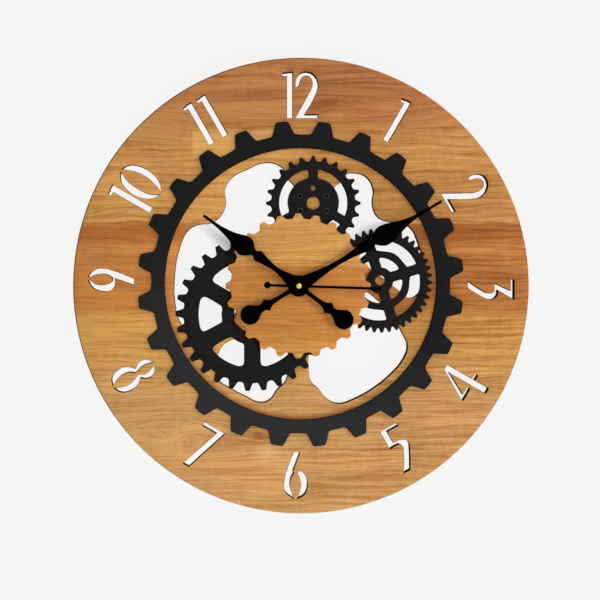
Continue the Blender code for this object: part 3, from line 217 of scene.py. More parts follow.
# Staves of the board that end in the open: left, right, bottom and top in millimetres, colour and its share
DIAL_STAVES = [
    (-116, 20, 138, 176, "#d9a863", 0.42), (-250, -30, -205, -178, "#b98a52", 0.20),
    (52, 250, 176, 214, "#a05c38", 0.22),
]
# A stave's right end and its seams fade over these lengths in millimetres
STAVE_FADE = 40
SEAM_FADE = 5
# Painted shade on the face, a dark line along the left of its rim and a reddish band inside the ring at the
# bottom: middle, the radii where it starts and is full, its direction, the cosines between which it fades
# round the rim, colour and its share
DIAL_SHADE_BANDS = [
    (dial_middle, dial_radius - 1.5 * MM, dial_radius - 0.7 * MM,
     (-0.85, 0, 0.53), 0.25, 0.55, "#2c180d", 0.92),
    (ring_middle, RING_HOLE - 7 * MM, RING_HOLE - 0.5 * MM,
     (-0.35, 0, -0.94), 0.30, 0.75, "#7c3a1c", 0.66),
]
# A band of painted shade ends this far outside its full radius
SHADE_BAND_END = 3 * MM

# Patterns of the grain: lengths in mm that hold five spots, detail, roughness and a shift of their own
GRAIN = {
    # bands of early and late wood, broad and narrow
    "broad": ((640, 100, 15), 2.0, 0.55, None),
    "band": ((300, 100, 8.5), 2.0, 0.55, None),
    # thin streaks and the fibres in them
    "streak": ((230, 100, 1.8), 3.0, 0.65, None),
    "fibre": ((60, 100, 0.7), 3.0, 0.6, None),
    # short dark needles, and where they and the red wisps gather
    "needle": ((60, 100, 1.0), 1.0, 0.5, (5, 2, 1)),
    "cluster": ((150, 100, 26), 1.0, 0.5, (2, 7, 4)),
    "wisp": ((150, 100, 2.6), 2.0, 0.6, (8, 3, 9)),
    # open pores, drawn twice as coarse as real ones so that they show
    "pore": ((10, 100, 0.75), 1.0, 0.5, (3, 1, 7)),
    # calm and lively stretches of the board
    "calm": ((240, 100, 42), 1.0, 0.5, (9, 4, 6)),
}
# The slow wander of the growth up and down, and the ripple across the grain, laid out as those patterns are
WANDER = ((420, 100, 90), 2.0, 0.4)
RIPPLE = ((34, 100, 60), 1.0, 0.5)
WANDER_HEIGHT = 14 * MM
STRIP_WANDER = 12 * MM
KNOT_PUSH = 0.95
# How dark the wood is on average, and how much each pattern changes that
MEAN_DARK = 0.30
DARK_WEIGHTS = (("band", 0.7), ("broad", 2.5), ("fibre", 1.6))
RIPPLE_WEIGHT = 0.35
LINE_WEIGHT = 0.12
# painted shade: the wood darkens towards the right, to even out the stronger light on that side
PAINTED_SHADE_TO_RIGHT = 0.8
DEEP_TINT = "#c0a085"
PALE_TINT = "#fffefa"
# How much the grain frays a stain, and how fast a stain fades outwards
FRAY = 3.2
STAIN_FADE = 1.2
# The outer rim of the sawn edge starts here. From left to right, painted light turns its char to the tone
# of bare wood.
RIM_START = 240 * MM
RIM_LIGHT_FROM = -110 * MM
RIM_LIGHT_FULL = -20 * MM


def oval(tree, x, z, middle, half_height, stretch, ragged=0.0):
    """How far a point lies from the middle of an oval, squared, in the oval's own half sizes, and its height
    in the oval. The middle and the half height are in millimetres."""
    right = add(tree, "Math", x, middle[0] * MM, operation="SUBTRACT")
    above = add(tree, "Math", z, middle[1] * MM, operation="SUBTRACT")
    across = add(tree, "Math", right, stretch * half_height * MM, operation="DIVIDE")
    up = add(tree, "Math", above, half_height * MM, operation="DIVIDE")
    up_squared = add(tree, "Math", up, up, operation="MULTIPLY")
    far = add(tree, "Math", across, across, up_squared, operation="MULTIPLY_ADD")
    return add(tree, "Math", far, ragged, operation="ADD"), up


def grain_height(tree, place, x, z, knots, shift):
    """A point's height in the growth, which wanders along the board and bends around the knots."""
    wander = spots(tree, place, *WANDER, shift)
    swing = add(tree, "Math", wander, 0.5, operation="SUBTRACT")
    height = add(tree, "Math", swing, WANDER_HEIGHT, z, operation="MULTIPLY_ADD")
    for across, up, half_height, stretch in knots:
        far, in_knot = oval(tree, x, z, (across, up), half_height, stretch)
        fade = add(tree, "Math", far, -0.5, operation="MULTIPLY")
        near = add(tree, "Math", fade, operation="EXPONENT")
        push = add(tree, "Math", near, in_knot, operation="MULTIPLY")
        height = add(tree, "Math", push, -KNOT_PUSH * half_height * MM, height, operation="MULTIPLY_ADD")
    return height


def strip_tone(tree, height, strips):
    """The tone at a height of a board laminated from strips."""
    low, high = strips[0][0], strips[-1][0]
    level = add(tree, "MapRange", height, low * MM, high * MM)
    stops = [((up - low) / (high - low), linear(tone)) for up, tone in strips]
    return add(tree, "ValToRGB", level, output="Color", stops=stops)


def toned(tree, colour, shade, share, most):
    """A colour with a shade over it, by a share and up to a greatest share."""
    part = add(tree, "Math", share, most, operation="MULTIPLY", use_clamp=True)
    return add(tree, "Mix", named={"Factor": part, "A": colour, "B": linear(shade)}, output="Result",
               data_type="RGBA")


def streaked(tree, tone, x, grain, ripple, contrast):
    """The strips' tone with the grain in it: dark wood lies between the light streaks and is redder."""
    lively = add(tree, "MapRange", grain["calm"], 0.36, 0.62, 0.3, 1.3)
    between = add(tree, "Math", 0.5, grain["streak"], operation="SUBTRACT")
    uneven = add(tree, "Math", between, lively, operation="MULTIPLY")
    for pattern, weight in [(grain[name], share) for name, share in DARK_WEIGHTS] + [(ripple, RIPPLE_WEIGHT)]:
        below = add(tree, "Math", 0.5, pattern, operation="SUBTRACT")
        uneven = add(tree, "Math", below, weight, uneven, operation="MULTIPLY_ADD")
    dark = add(tree, "Math", uneven, contrast, MEAN_DARK, operation="MULTIPLY_ADD")
    # painted shade, darker towards the right
    dark = add(tree, "Math", x, PAINTED_SHADE_TO_RIGHT, dark, operation="MULTIPLY_ADD")
    line = add(tree, "MapRange", grain["band"], 0.40, 0.28)
    dark = add(tree, "Math", line, LINE_WEIGHT, dark, operation="MULTIPLY_ADD", use_clamp=True)
    deep = add(tree, "Mix", named={"Factor": 1.0, "A": tone, "B": linear(DEEP_TINT)}, output="Result",
               data_type="RGBA", blend_type="MULTIPLY")
    pale = add(tree, "Mix", named={"Factor": 1.0, "A": tone, "B": linear(PALE_TINT)}, output="Result",
               data_type="RGBA", blend_type="MULTIPLY")
    return add(tree, "Mix", named={"Factor": dark, "A": pale, "B": deep}, output="Result", data_type="RGBA")


def stained(tree, colour, x, height, grain, stains):
    """Ragged oval stains, drawn out along the grain."""
    both = add(tree, "Math", grain["streak"], grain["fibre"], operation="ADD")
    swing = add(tree, "Math", both, 1.0, operation="SUBTRACT")
    ragged = add(tree, "Math", swing, FRAY, operation="MULTIPLY")
    for across, up, half_height, stretch, shade, most in stains:
        far, _ = oval(tree, x, height, (across, up), half_height, stretch, ragged)
        fade = add(tree, "Math", far, -STAIN_FADE, operation="MULTIPLY")
        near = add(tree, "Math", fade, operation="EXPONENT")
        colour = toned(tree, colour, shade, near, most)
    return colour


def staved(tree, colour, x, height, staves):
    """Staves of another tone, with a sharp left end and a right end that fades."""
    for left, right, bottom, top, shade, most in staves:
        past_left = add(tree, "MapRange", x, left * MM, (left + 1) * MM)
        past_right = add(tree, "MapRange", x, right * MM, (right - STAVE_FADE) * MM)
        over = add(tree, "MapRange", height, bottom * MM, (bottom + SEAM_FADE) * MM)
        under = add(tree, "MapRange", height, top * MM, (top - SEAM_FADE) * MM)
        across = add(tree, "Math", past_left, past_right, operation="MULTIPLY")
        up = add(tree, "Math", over, under, operation="MULTIPLY")
        colour = toned(tree, colour, shade, add(tree, "Math", across, up, operation="MULTIPLY"), most)
    return colour


def with_painted_shade(tree, colour, place, shade_bands):
    """Bands of painted shade round a middle, on one side, in the front face alone."""
    depth = add(tree, "SeparateXYZ", place, output="Y")
    in_front = add(tree, "MapRange", depth, dial_middle.y, dial_middle.y - 1 * MM)
    for middle, start, full, towards, thin, thick, shade, most in shade_bands:
        from_middle = add(tree, "VectorMath", place, (middle.x, 0, middle.z), operation="SUBTRACT")
        flat = add(tree, "VectorMath", from_middle, (1, 0, 1), operation="MULTIPLY")
        away = add(tree, "VectorMath", flat, output="Value", operation="LENGTH")
        along = add(tree, "VectorMath", flat, towards, output="Value", operation="DOT_PRODUCT")
        cosine = add(tree, "Math", along, away, operation="DIVIDE")
        side = add(tree, "MapRange", cosine, thin, thick)
        inner = add(tree, "MapRange", away, start, full)
        outer = add(tree, "MapRange", away, full + SHADE_BAND_END + 1 * MM, full + SHADE_BAND_END)
        band = add(tree, "Math", inner, outer, operation="MULTIPLY")
        face = add(tree, "Math", band, in_front, operation="MULTIPLY")
        colour = toned(tree, colour, shade, add(tree, "Math", face, side, operation="MULTIPLY"), most)
    return colour


def sawn_wood(name, strips, knots, stains, shift, staves=(), shade_bands=(), contrast=1.0):
    """Laminated hardwood board, cut by laser and lacquered to a satin: soft bands along the strips, sparse
    thin dark streaks and short pores in them, reddish stains at the knots, and a low even sheen."""
    material, tree = new_material(name)
    place = add(tree, "TexCoord", output="Object")
    x = add(tree, "SeparateXYZ", place, output="X")
    z = add(tree, "SeparateXYZ", place, output="Z")
    height = grain_height(tree, place, x, z, knots, shift)
    along = add(tree, "CombineXYZ", x, 0.0, height)
    grain = {pattern: spots(tree, along, lengths, detail, rough, own_shift or shift)
             for pattern, (lengths, detail, rough, own_shift) in GRAIN.items()}
    ripple = spots(tree, place, *RIPPLE, shift)

    swing = add(tree, "Math", grain["broad"], 0.5, operation="SUBTRACT")
    strip_height = add(tree, "Math", swing, STRIP_WANDER, z, operation="MULTIPLY_ADD")
    tone = strip_tone(tree, strip_height, strips)
    colour = streaked(tree, tone, x, grain, ripple, contrast)

    # red wisps gather near the top of the dial, and in a few clusters elsewhere
    pores = add(tree, "MapRange", grain["pore"], 0.64, 0.76)
    gathered = add(tree, "MapRange", grain["cluster"], 0.40, 0.62)
    needle = add(tree, "MapRange", grain["needle"], 0.61, 0.70)
    needles = add(tree, "Math", needle, gathered, operation="MULTIPLY")
    near_top = add(tree, "MapRange", z, 130 * MM, 190 * MM)
    in_cluster = add(tree, "MapRange", grain["cluster"], 0.56, 0.72)
    reddish = add(tree, "Math", near_top, 0.6, in_cluster, operation="MULTIPLY_ADD", use_clamp=True)
    wisp = add(tree, "MapRange", grain["wisp"], 0.57, 0.70)
    wisps = add(tree, "Math", wisp, reddish, operation="MULTIPLY")
    marks = ((wisps, 0.55, "#77401f"), (needles, 0.66, "#572e14"), (pores, 0.34, "#63391c"))
    for share, most, shade in marks:
        colour = toned(tree, colour, shade, share, most)

    colour = stained(tree, colour, x, height, grain, stains)
    colour = staved(tree, colour, x, height, staves)
    # painted shade on the face: along the left of the rim and inside the ring at the bottom
    colour = with_painted_shade(tree, colour, place, shade_bands)
    roughness = add(tree, "MapRange", grain["streak"], 0.0, 1.0, 0.46, 0.62)
    sunk = add(tree, "Math", pores, needles, operation="MAXIMUM")
    relief = add(tree, "Math", sunk, -0.8, grain["fibre"], operation="MULTIPLY_ADD")
    surface(tree, colour, roughness, relief, 0.12, 0.35, IOR=1.46, Specular_IOR_Level=0.1)
    return material


def scorched_with_rim_light(name):
    """Edge wood that the laser burned: dry, black-brown and finely rough. On the outer rim, painted light
    turns the char on the left to the tone of bare wood on the right."""
    material, tree = new_material(name)
    place = add(tree, "TexCoord", output="Object")
    x = add(tree, "SeparateXYZ", place, output="X")
    z = add(tree, "SeparateXYZ", place, output="Z")
    soot = spots(tree, place, (1.2, 4, 1.2), 3.0)
    char = add(tree, "Mix", named={"Factor": soot, "A": linear("#0d0704"), "B": linear("#1f130a")},
               output="Result", data_type="RGBA")
    x_squared = add(tree, "Math", x, x, operation="MULTIPLY")
    far = add(tree, "Math", add(tree, "Math", z, z, x_squared, operation="MULTIPLY_ADD"), operation="SQRT")
    on_rim = add(tree, "Math", far, RIM_START, operation="GREATER_THAN")
    rim_lit_side = add(tree, "MapRange", x, RIM_LIGHT_FROM, RIM_LIGHT_FULL)
    bare = add(tree, "Math", on_rim, rim_lit_side, operation="MULTIPLY")
    # painted light: the right of the outer rim takes the tone of bare wood
    colour = toned(tree, char, "#a87340", bare, 1.0)
    surface(tree, colour, 0.9, soot, 0.15, 0.5, IOR=1.45, Specular_IOR_Level=0.03)
    return material


def browned_edge(name):
    """Sawn edge of the middle gear: the same board, only browned by the cut, its layers along the edge."""
    material, tree = new_material(name)
    place = add(tree, "TexCoord", output="Object")
    layer = spots(tree, place, (8, 0.6, 8), 3.0)
    colour = add(tree, "Mix", named={"Factor": layer, "A": linear("#8a5a2c"), "B": linear("#b98648")},
                 output="Result", data_type="RGBA")
    surface(tree, colour, 0.8, layer, 0.1, 0.4, IOR=1.46, Specular_IOR_Level=0.08)
    return material


dial_wood = sawn_wood("lacquered_dial_board", DIAL_STRIPS, DIAL_KNOTS, DIAL_STAINS, (0, 0, 0), DIAL_STAVES,
                      DIAL_SHADE_BANDS)
gear_wood = sawn_wood("lacquered_gear_board", GEAR_STRIPS, GEAR_KNOTS, GEAR_STAINS, (3.1, 0, 5.7),
                      contrast=0.7)
# laser char on the sawn edges, with painted light on the right of the outer rim
dial_char_and_rim_light = scorched_with_rim_light("scorched_edge_and_rim_light")
gear_edge = browned_edge("sawn_gear_edge")


# Paint, metal and plastic


def sprayed_charcoal(name, upper, sheen_coat, rough):
    """MDF sprayed with matt charcoal paint: even, with a faint fleck and no shine. A painted sheen makes it
    greyer towards the bottom left."""
    material, tree = new_material(name)
    place = add(tree, "TexCoord", output="Object")
    x = add(tree, "SeparateXYZ", place, output="X")
    z = add(tree, "SeparateXYZ", place, output="Z")
    fleck = spots(tree, place, (0.5, 0.5, 0.5))
    cloud = spots(tree, place, (14, 14, 14), 3.0)
    lean = add(tree, "Math", x, 0.35, z, operation="MULTIPLY_ADD")
    # painted sheen: the coat greys towards the bottom left
    painted_sheen = add(tree, "MapRange", lean, 0.0, -165 * MM)
    coat = add(tree, "Mix", named={"Factor": painted_sheen, "A": linear(upper), "B": linear(sheen_coat)}, output="Result",
               data_type="RGBA")
    clouded = add(tree, "Math", cloud, 0.40, 0.65, operation="MULTIPLY_ADD")
    brightness = add(tree, "Math", fleck, 0.30, clouded, operation="MULTIPLY_ADD")
    colour = add(tree, "VectorMath", coat, named={"Scale": brightness}, operation="SCALE")
    roughness = add(tree, "MapRange", fleck, 0.0, 1.0, rough, rough + 0.12)
    surface(tree, colour, roughness, fleck, 0.03, 0.35, IOR=1.46, Specular_IOR_Level=0.03)
    return material


def mottled(name, low, high, rough, grain_mm, relief_mm, relief_strength=0.4, **constants):
    """A finish whose tone and sheen vary in soft spots of one size, over a fine relief."""
    material, tree = new_material(name)
    place = add(tree, "TexCoord", output="Object")
    cloud = spots(tree, place, (grain_mm * 8,) * 3, 4.0)
    grit = spots(tree, place, (grain_mm,) * 3)
    soft = add(tree, "Math", cloud, 0.6, operation="MULTIPLY")
    both = add(tree, "Math", grit, 0.4, soft, operation="MULTIPLY_ADD")
    share = add(tree, "MapRange", both, 0.3, 0.7)
    colour = add(tree, "Mix", named={"Factor": share, "A": linear(low), "B": linear(high)}, output="Result",
                 data_type="RGBA")
    roughness = add(tree, "MapRange", both, 0.3, 0.7, *rough)
    surface(tree, colour, roughness, grit, relief_mm, relief_strength, **constants)
    return material


def turned_metal(name, low, high, rough, ring_mm):
    """Metal turned on a lathe about the arbor: fine rings, which draw the highlight out."""
    material, tree = new_material(name)
    place = add(tree, "TexCoord", output="Object")
    flat = add(tree, "VectorMath", place, (1, 0, 1), operation="MULTIPLY")
    radius = add(tree, "VectorMath", flat, output="Value", operation="LENGTH")
    depth = add(tree, "SeparateXYZ", place, output="Y")
    run = add(tree, "CombineXYZ", radius, depth, 0.0)
    ring = spots(tree, run, (ring_mm, ring_mm, 1 / MM))
    colour = add(tree, "Mix", named={"Factor": ring, "A": linear(low), "B": linear(high)}, output="Result",
                 data_type="RGBA")
    roughness = add(tree, "MapRange", ring, 0.0, 1.0, *rough)
    surface(tree, colour, roughness, ring, 0.02, 0.3, Metallic=1.0)
    return material


def wound_copper(name, wire_mm):
    """Enamelled copper wire wound in close turns: fine ridges across the coil, reddish and glossy."""
    material, tree = new_material(name)
    place = add(tree, "TexCoord", output="Object")
    # one band of the wave pattern at a scale of 1.27 is a quarter as wide as its unit
    unit = add(tree, "Mapping", place, named={"Scale": (1 / (wire_mm * 4 * MM),) * 3})
    turns = add(tree, "TexWave", unit, named={"Scale": 1.27, "Distortion": 0.3}, output="Fac",
                wave_type="BANDS", bands_direction="X")
    colour = add(tree, "Mix", named={"Factor": turns, "A": linear("#6e2c14"), "B": linear("#c8693a")},
                 output="Result", data_type="RGBA")
    surface(tree, colour, 0.3, turns, 0.05, 0.6, Metallic=0.9)
    return material


def cell_film(name, silver_band, bare_end):
    """Film shrunk round the cell: plain blue with a silver band at the plus end, smooth and slightly wavy.
    Both ends are bare steel."""
    material, tree = new_material(name)
    low, high = (Vector(corner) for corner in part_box("battery"))
    place = add(tree, "TexCoord", output="Object")
    x = add(tree, "SeparateXYZ", place, output="X")
    in_band = add(tree, "Math", x, high.x - silver_band, operation="GREATER_THAN")
    from_middle = add(tree, "Math", x, (low.x + high.x) / 2, operation="SUBTRACT")
    away = add(tree, "Math", from_middle, operation="ABSOLUTE")
    at_end = add(tree, "Math", away, (high.x - low.x) / 2 - bare_end, operation="GREATER_THAN")
    wave = spots(tree, place, (5, 5, 5))
    colour = add(tree, "Mix", named={"Factor": wave, "A": linear("#1c3f73"), "B": linear("#27508a")},
                 output="Result", data_type="RGBA")
    colour = toned(tree, colour, "#b9bcc0", in_band, 1.0)
    colour = toned(tree, colour, "#c9cac8", at_end, 1.0)
    surface(tree, colour, 0.3, wave, 0.06, 0.4, Metallic=0.35)
    return material


# the ring's coat, with a painted sheen towards the bottom left
charcoal_face = sprayed_charcoal("matt_charcoal_paint_and_sheen", "#181818", "#282828", 0.66)
# the gears' coat is even
gear_coat = sprayed_charcoal("matt_charcoal_gear_paint", "#191717", "#181818", 0.66)
# the sawn walls drink the paint and stay darker
charcoal_edge = sprayed_charcoal("charcoal_sawn_wall", "#0c0b0b", "#0e0e0e", 0.8)
# aluminium sheet under black enamel: the deepest black here, with hardly a gloss
hand_enamel = mottled("black_hand_enamel", "#010000", "#030202", (0.5, 0.6), 0.6, 0.01, 0.2, IOR=1.5,
                      Specular_IOR_Level=0.005)
# steel screws, black oxide: dark and oily
black_oxide = mottled("black_oxide_steel", "#030303", "#070707", (0.5, 0.6), 0.3, 0.01, 0.3, IOR=1.5,
                      Specular_IOR_Level=0.03)
# their rims: a thin grey ring, a painted highlight of the hole's edge
rim_highlight = mottled("screw_rim_painted_highlight", "#343332", "#434240", (0.45, 0.55), 0.3, 0.01, 0.3, IOR=1.5,
                   Specular_IOR_Level=0.1)
# polished brass, turned: a small bright highlight
cap_brass = turned_metal("polished_brass", "#c9b23a", "#e6d566", (0.14, 0.22), 0.10)
# the cap's shoulder, dark brown: painted shade, a dark line round the dome
shoulder_shade = turned_metal("brass_shoulder_painted_shade", "#3a2e10", "#52421a", (0.4, 0.5), 0.10)
# brass as it comes off the lathe: yellow, with a soft shine
nut_brass = turned_metal("turned_brass", "#b08d3c", "#cda850", (0.28, 0.42), 0.12)
# moulded rubber: black and dull with a bloom
rubber = mottled("moulded_rubber", "#141414", "#1f1f1e", (0.8, 0.92), 0.8, 0.03, IOR=1.52,
                 Specular_IOR_Level=0.25)
# ABS moulded in a spark-eroded tool: black or grey with a fine even grain
black_abs = mottled("moulded_black_abs", "#131314", "#1b1b1d", (0.48, 0.6), 0.35, 0.05, 0.5, IOR=1.53)
grey_abs = mottled("moulded_grey_abs", "#7c7d7f", "#8c8d8f", (0.4, 0.52), 0.35, 0.04, IOR=1.53)
# the train plate, moulded smooth: off-white
white_abs = mottled("moulded_white_abs", "#cfcdc6", "#dedcd6", (0.4, 0.5), 0.5, 0.03, 0.3, IOR=1.53)
# acetal wheels: milky, waxy, a soft shine
acetal = mottled("moulded_acetal", "#dedcd2", "#eceae2", (0.3, 0.4), 0.6, 0.02, 0.3, IOR=1.48)
# the rotor's magnet, ground: dark grey, half metallic
ferrite = mottled("ground_ferrite", "#303033", "#45454a", (0.35, 0.5), 0.3, 0.02, IOR=1.5, Metallic=0.4)
# stamped soft iron: plain grey metal
soft_iron = mottled("stamped_iron", "#8d8d90", "#a3a3a6", (0.32, 0.45), 0.5, 0.02, 0.3, Metallic=1.0)
# nickel-plated spring sheet: pale and shiny
nickel = mottled("nickel_plated_spring", "#b9b7b0", "#d0cec8", (0.2, 0.32), 0.6, 0.01, 0.3, Metallic=1.0)
# glass-fibre board under green lacquer: deep green, glossy
board_lacquer = mottled("green_lacquered_board", "#0f4a24", "#17602f", (0.25, 0.38), 0.6, 0.02, 0.3, IOR=1.55)
# moulded epoxy of the chip: black and dull
chip_epoxy = mottled("moulded_chip_epoxy", "#121213", "#1d1d1e", (0.5, 0.62), 0.25, 0.02, IOR=1.55)
copper = wound_copper("wound_copper_wire", 0.2)
cell_wrap = cell_film("shrunk_cell_film", 13 * MM, 1.6 * MM)


# Shapes


def finish(piece, body, node_name):
    """Tells the frame what a piece rides on, and hides the node that it stands for."""
    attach(piece, body)
    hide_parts(node_name)


def welded(node_name):
    """A CAD node's mesh as a bmesh with its split corners joined again."""
    work = bmesh.new()
    work.from_mesh(nodes[node_name].data)
    bmesh.ops.remove_doubles(work, verts=work.verts, dist=1e-6)
    return work


def front_loops(node_name):
    """The outlines of a flat node's front face, as loops of (x, z), and the depths of its two faces."""
    work = welded(node_name)
    front = min(v.co.y for v in work.verts)
    back = max(v.co.y for v in work.verts)
    face_set = {f for f in work.faces if f.normal.y < -0.99 and all(v.co.y < front + 1e-5 for v in f.verts)}
    following = {}
    for face in face_set:
        for loop in face.loops:
            other = [f for f in loop.edge.link_faces if f is not face]
            if not other or other[0] not in face_set:
                following[loop.vert] = loop.link_loop_next.vert
    loops = []
    left = set(following)
    for start in sorted(left, key=lambda v: (round(v.co.x, 6), round(v.co.z, 6))):
        if start not in left:
            continue
        loop, at = [], start
        while at in left:
            left.discard(at)
            loop.append(Vector((at.co.x, at.co.z)))
            at = following[at]
        loops.append(loop)
    work.free()
    return loops, front, back


def turn_between(one, two):
    """The angle in degrees between two directions."""
    return degrees(acos(max(-1, min(1, one.dot(two)))))


def smoothed(loop):
    """A loop with its gentle bends drawn as curves and its corners kept."""
    count = len(loop)
    steps = [loop[(i + 1) % count] - loop[i] for i in range(count)]
    lengths = [s.length for s in steps]
    ahead = [s.normalized() for s in steps]
    turns = [turn_between(ahead[i - 1], ahead[i]) for i in range(count)]
    tangents = [(ahead[i - 1] * lengths[i - 1] + ahead[i] * lengths[i]).normalized() for i in range(count)]
    points = []
    for i in range(count):
        after = (i + 1) % count
        first = ahead[i] if turns[i] > CORNER_TURN else tangents[i]
        last = ahead[i] if turns[after] > CORNER_TURN else tangents[after]
        bend = max(turn_between(first, last), 2 * turn_between(first, ahead[i]))
        parts = max(1, ceil(bend / STEP_TURN))
        for k in range(parts):
            t = k / parts
            from_here = loop[i] * (2 * t ** 3 - 3 * t ** 2 + 1)
            along_first = first * ((t ** 3 - 2 * t ** 2 + t) * lengths[i])
            to_next = loop[after] * (3 * t ** 2 - 2 * t ** 3)
            along_last = last * ((t ** 3 - t ** 2) * lengths[i])
            points.append(from_here + along_first + to_next + along_last)
    return points


def blunted(loop, middle, tip_cut):
    """A toothed loop, each tip of which has two corners, with the tips cut shorter and rounded."""
    far = max((point - middle).length for point in loop)
    made = []
    for i, point in enumerate(loop):
        before, after = loop[i - 1], loop[(i + 1) % len(loop)]
        if (point - middle).length < far - TIP_BAND:
            made.append(point)
            continue
        flank_first = (before - middle).length < (after - middle).length
        flank, twin = (before, after) if flank_first else (after, before)
        crown = point - ((point + twin) / 2 - middle).normalized() * tip_cut
        shoulder = point.lerp(flank, min(FLANK_SHARE, CUT_TIMES * tip_cut / (flank - point).length))
        made += [shoulder, crown] if flank_first else [crown, shoulder]
    return made


def fuller_teeth(loops, swell, tip_cut):
    """Outlines of a toothed sheet that is to swell: rounded teeth, and small holes that stay as wide."""
    made = []
    for loop in loops:
        middle = sum(loop, Vector((0, 0))) / len(loop)
        radius = max((point - middle).length for point in loop)
        if radius < HOLE_RADIUS:
            loop = [middle + (point - middle) * (1 + swell / (point - middle).length) for point in loop]
        elif radius > TOOTHED_RADIUS:
            loop = blunted(loop, middle, tip_cut)
        made.append(loop)
    return made


def sheet(name, loops, front, back, edge, swell):
    """A flat piece with softened edges, from its outlines and its faces' depths. It can swell past them."""
    curve = bpy.data.curves.new(name, "CURVE")
    curve.dimensions = "2D"
    curve.fill_mode = "BOTH"
    curve.extrude = (back - front) / 2 - edge
    curve.bevel_depth = edge
    curve.bevel_resolution = 1
    curve.offset = swell - edge
    for loop in loops:
        spline = curve.splines.new("POLY")
        spline.points.add(len(loop) - 1)
        for point, at in zip(spline.points, loop):
            point.co = (at.x, at.y, 0, 1)
        spline.use_cyclic_u = True
    drawn = bpy.data.objects.new(name, curve)
    bpy.context.scene.collection.objects.link(drawn)
    graph = bpy.context.evaluated_depsgraph_get()
    mesh = bpy.data.meshes.new_from_object(drawn.evaluated_get(graph))
    bpy.data.objects.remove(drawn)
    mesh.name = name
    mesh.transform(Matrix.Translation((0, (front + back) / 2, 0)) @ Matrix.Rotation(pi / 2, 4, "X"))
    work = bmesh.new()
    work.from_mesh(mesh)
    bmesh.ops.remove_doubles(work, verts=work.verts, dist=1e-7)
    bmesh.ops.recalc_face_normals(work, faces=work.faces)
    work.to_mesh(mesh)
    work.free()
    mesh.materials.clear()
    made = bpy.data.objects.new(name, mesh)
    bpy.context.scene.collection.objects.link(made)
    return made


def dress(piece, face, edge):
    """Gives a sheet's faces one material, and its softened edges and walls another."""
    for material in (face, edge):
        piece.data.materials.append(material)
    for polygon in piece.data.polygons:
        facing = abs(polygon.normal.y)
        polygon.material_index = 0 if facing > 0.98 else 1
        polygon.use_smooth = facing < 0.1
    piece.data.set_sharp_from_angle(angle=radians(25))


def cut_sheet(name, node_name, body, edge, face, rim, swell=0.0, tip_cut=0.0):
    """The dressed piece of a flat node."""
    loops, front, back = front_loops(node_name)
    if tip_cut:
        loops = fuller_teeth(loops, swell, tip_cut)
    made = sheet(name, [smoothed(loop) for loop in loops], front, back, edge, swell)
    dress(made, face, rim)
    finish(made, body, node_name)


def mesh_object(name, work, materials, smooth_angle):
    """Turns a finished bmesh into an object with its materials."""
    mesh = bpy.data.meshes.new(name)
    bmesh.ops.recalc_face_normals(work, faces=work.faces)
    work.to_mesh(mesh)
    work.free()
    for material in materials:
        mesh.materials.append(material)
    for polygon in mesh.polygons:
        polygon.use_smooth = True
    mesh.set_sharp_from_angle(angle=radians(smooth_angle))
    made = bpy.data.objects.new(name, mesh)
    bpy.context.scene.collection.objects.link(made)
    return made


def softened(name, node_name, body, edge, material, segments=2):
    """A copy of a moulded or turned node with its sharp edges rounded."""
    work = welded(node_name)
    bmesh.ops.dissolve_limit(work, angle_limit=radians(2), verts=work.verts, edges=work.edges)
    made = mesh_object(name, work, [material], 30)
    rounding = made.modifiers.new("rounded edges", "BEVEL")
    rounding.width = edge
    rounding.segments = segments
    rounding.limit_method = "ANGLE"
    rounding.angle_limit = radians(35)
    rounding.harden_normals = False
    rounding.miter_outer = "MITER_ARC"
    finish(made, body, node_name)


def turned(work, profile, centre, material_of):
    """Walls about an axis along Y through a centre (x, z), from a profile of (radius, depth) and a function
    that gives each wall its material. Returns their rings of corners."""
    rings = []
    for radius, depth in profile:
        ring = []
        for i in range(TURNED_STEPS if radius > 1e-7 else 1):
            turn = 2 * pi * i / TURNED_STEPS
            x, z = centre[0] + radius * cos(turn), centre[1] + radius * sin(turn)
            ring.append(work.verts.new((x, depth, z)))
        rings.append(ring)
    for number, (one, two) in enumerate(zip(rings, rings[1:])):
        for i in range(TURNED_STEPS):
            j = (i + 1) % TURNED_STEPS
            corners = [one[i % len(one)], one[j % len(one)], two[j % len(two)], two[i % len(two)]]
            work.faces.new(list(dict.fromkeys(corners))).material_index = material_of(number)
    return rings


# Dial, ring and gears

cut_sheet("dial_board", "dial_disc", BODY, BOARD_EDGE, dial_wood, dial_char_and_rim_light)
cut_sheet("black_ring", "toothed_ring", BODY, PAINTED_EDGE, charcoal_face, charcoal_edge)
# how far each gear swells past its node's outline, and how much is cut off its pointed teeth
for name, node_name, swell, tip_cut in [
    ("large_black_gear", "large_gear", 0.4 * MM, 0.9 * MM),
    ("black_sprocket", "sprocket", 0.35 * MM, 1.3 * MM),
    ("small_black_gear", "small_gear", 0.2 * MM, 0.7 * MM),
]:
    cut_sheet(name, node_name, BODY, PAINTED_EDGE, gear_coat, charcoal_edge, swell, tip_cut)
cut_sheet("wooden_middle_gear", "centre_gear", BODY, BOARD_EDGE, gear_wood, gear_edge,
          0.3 * MM, 0.7 * MM)


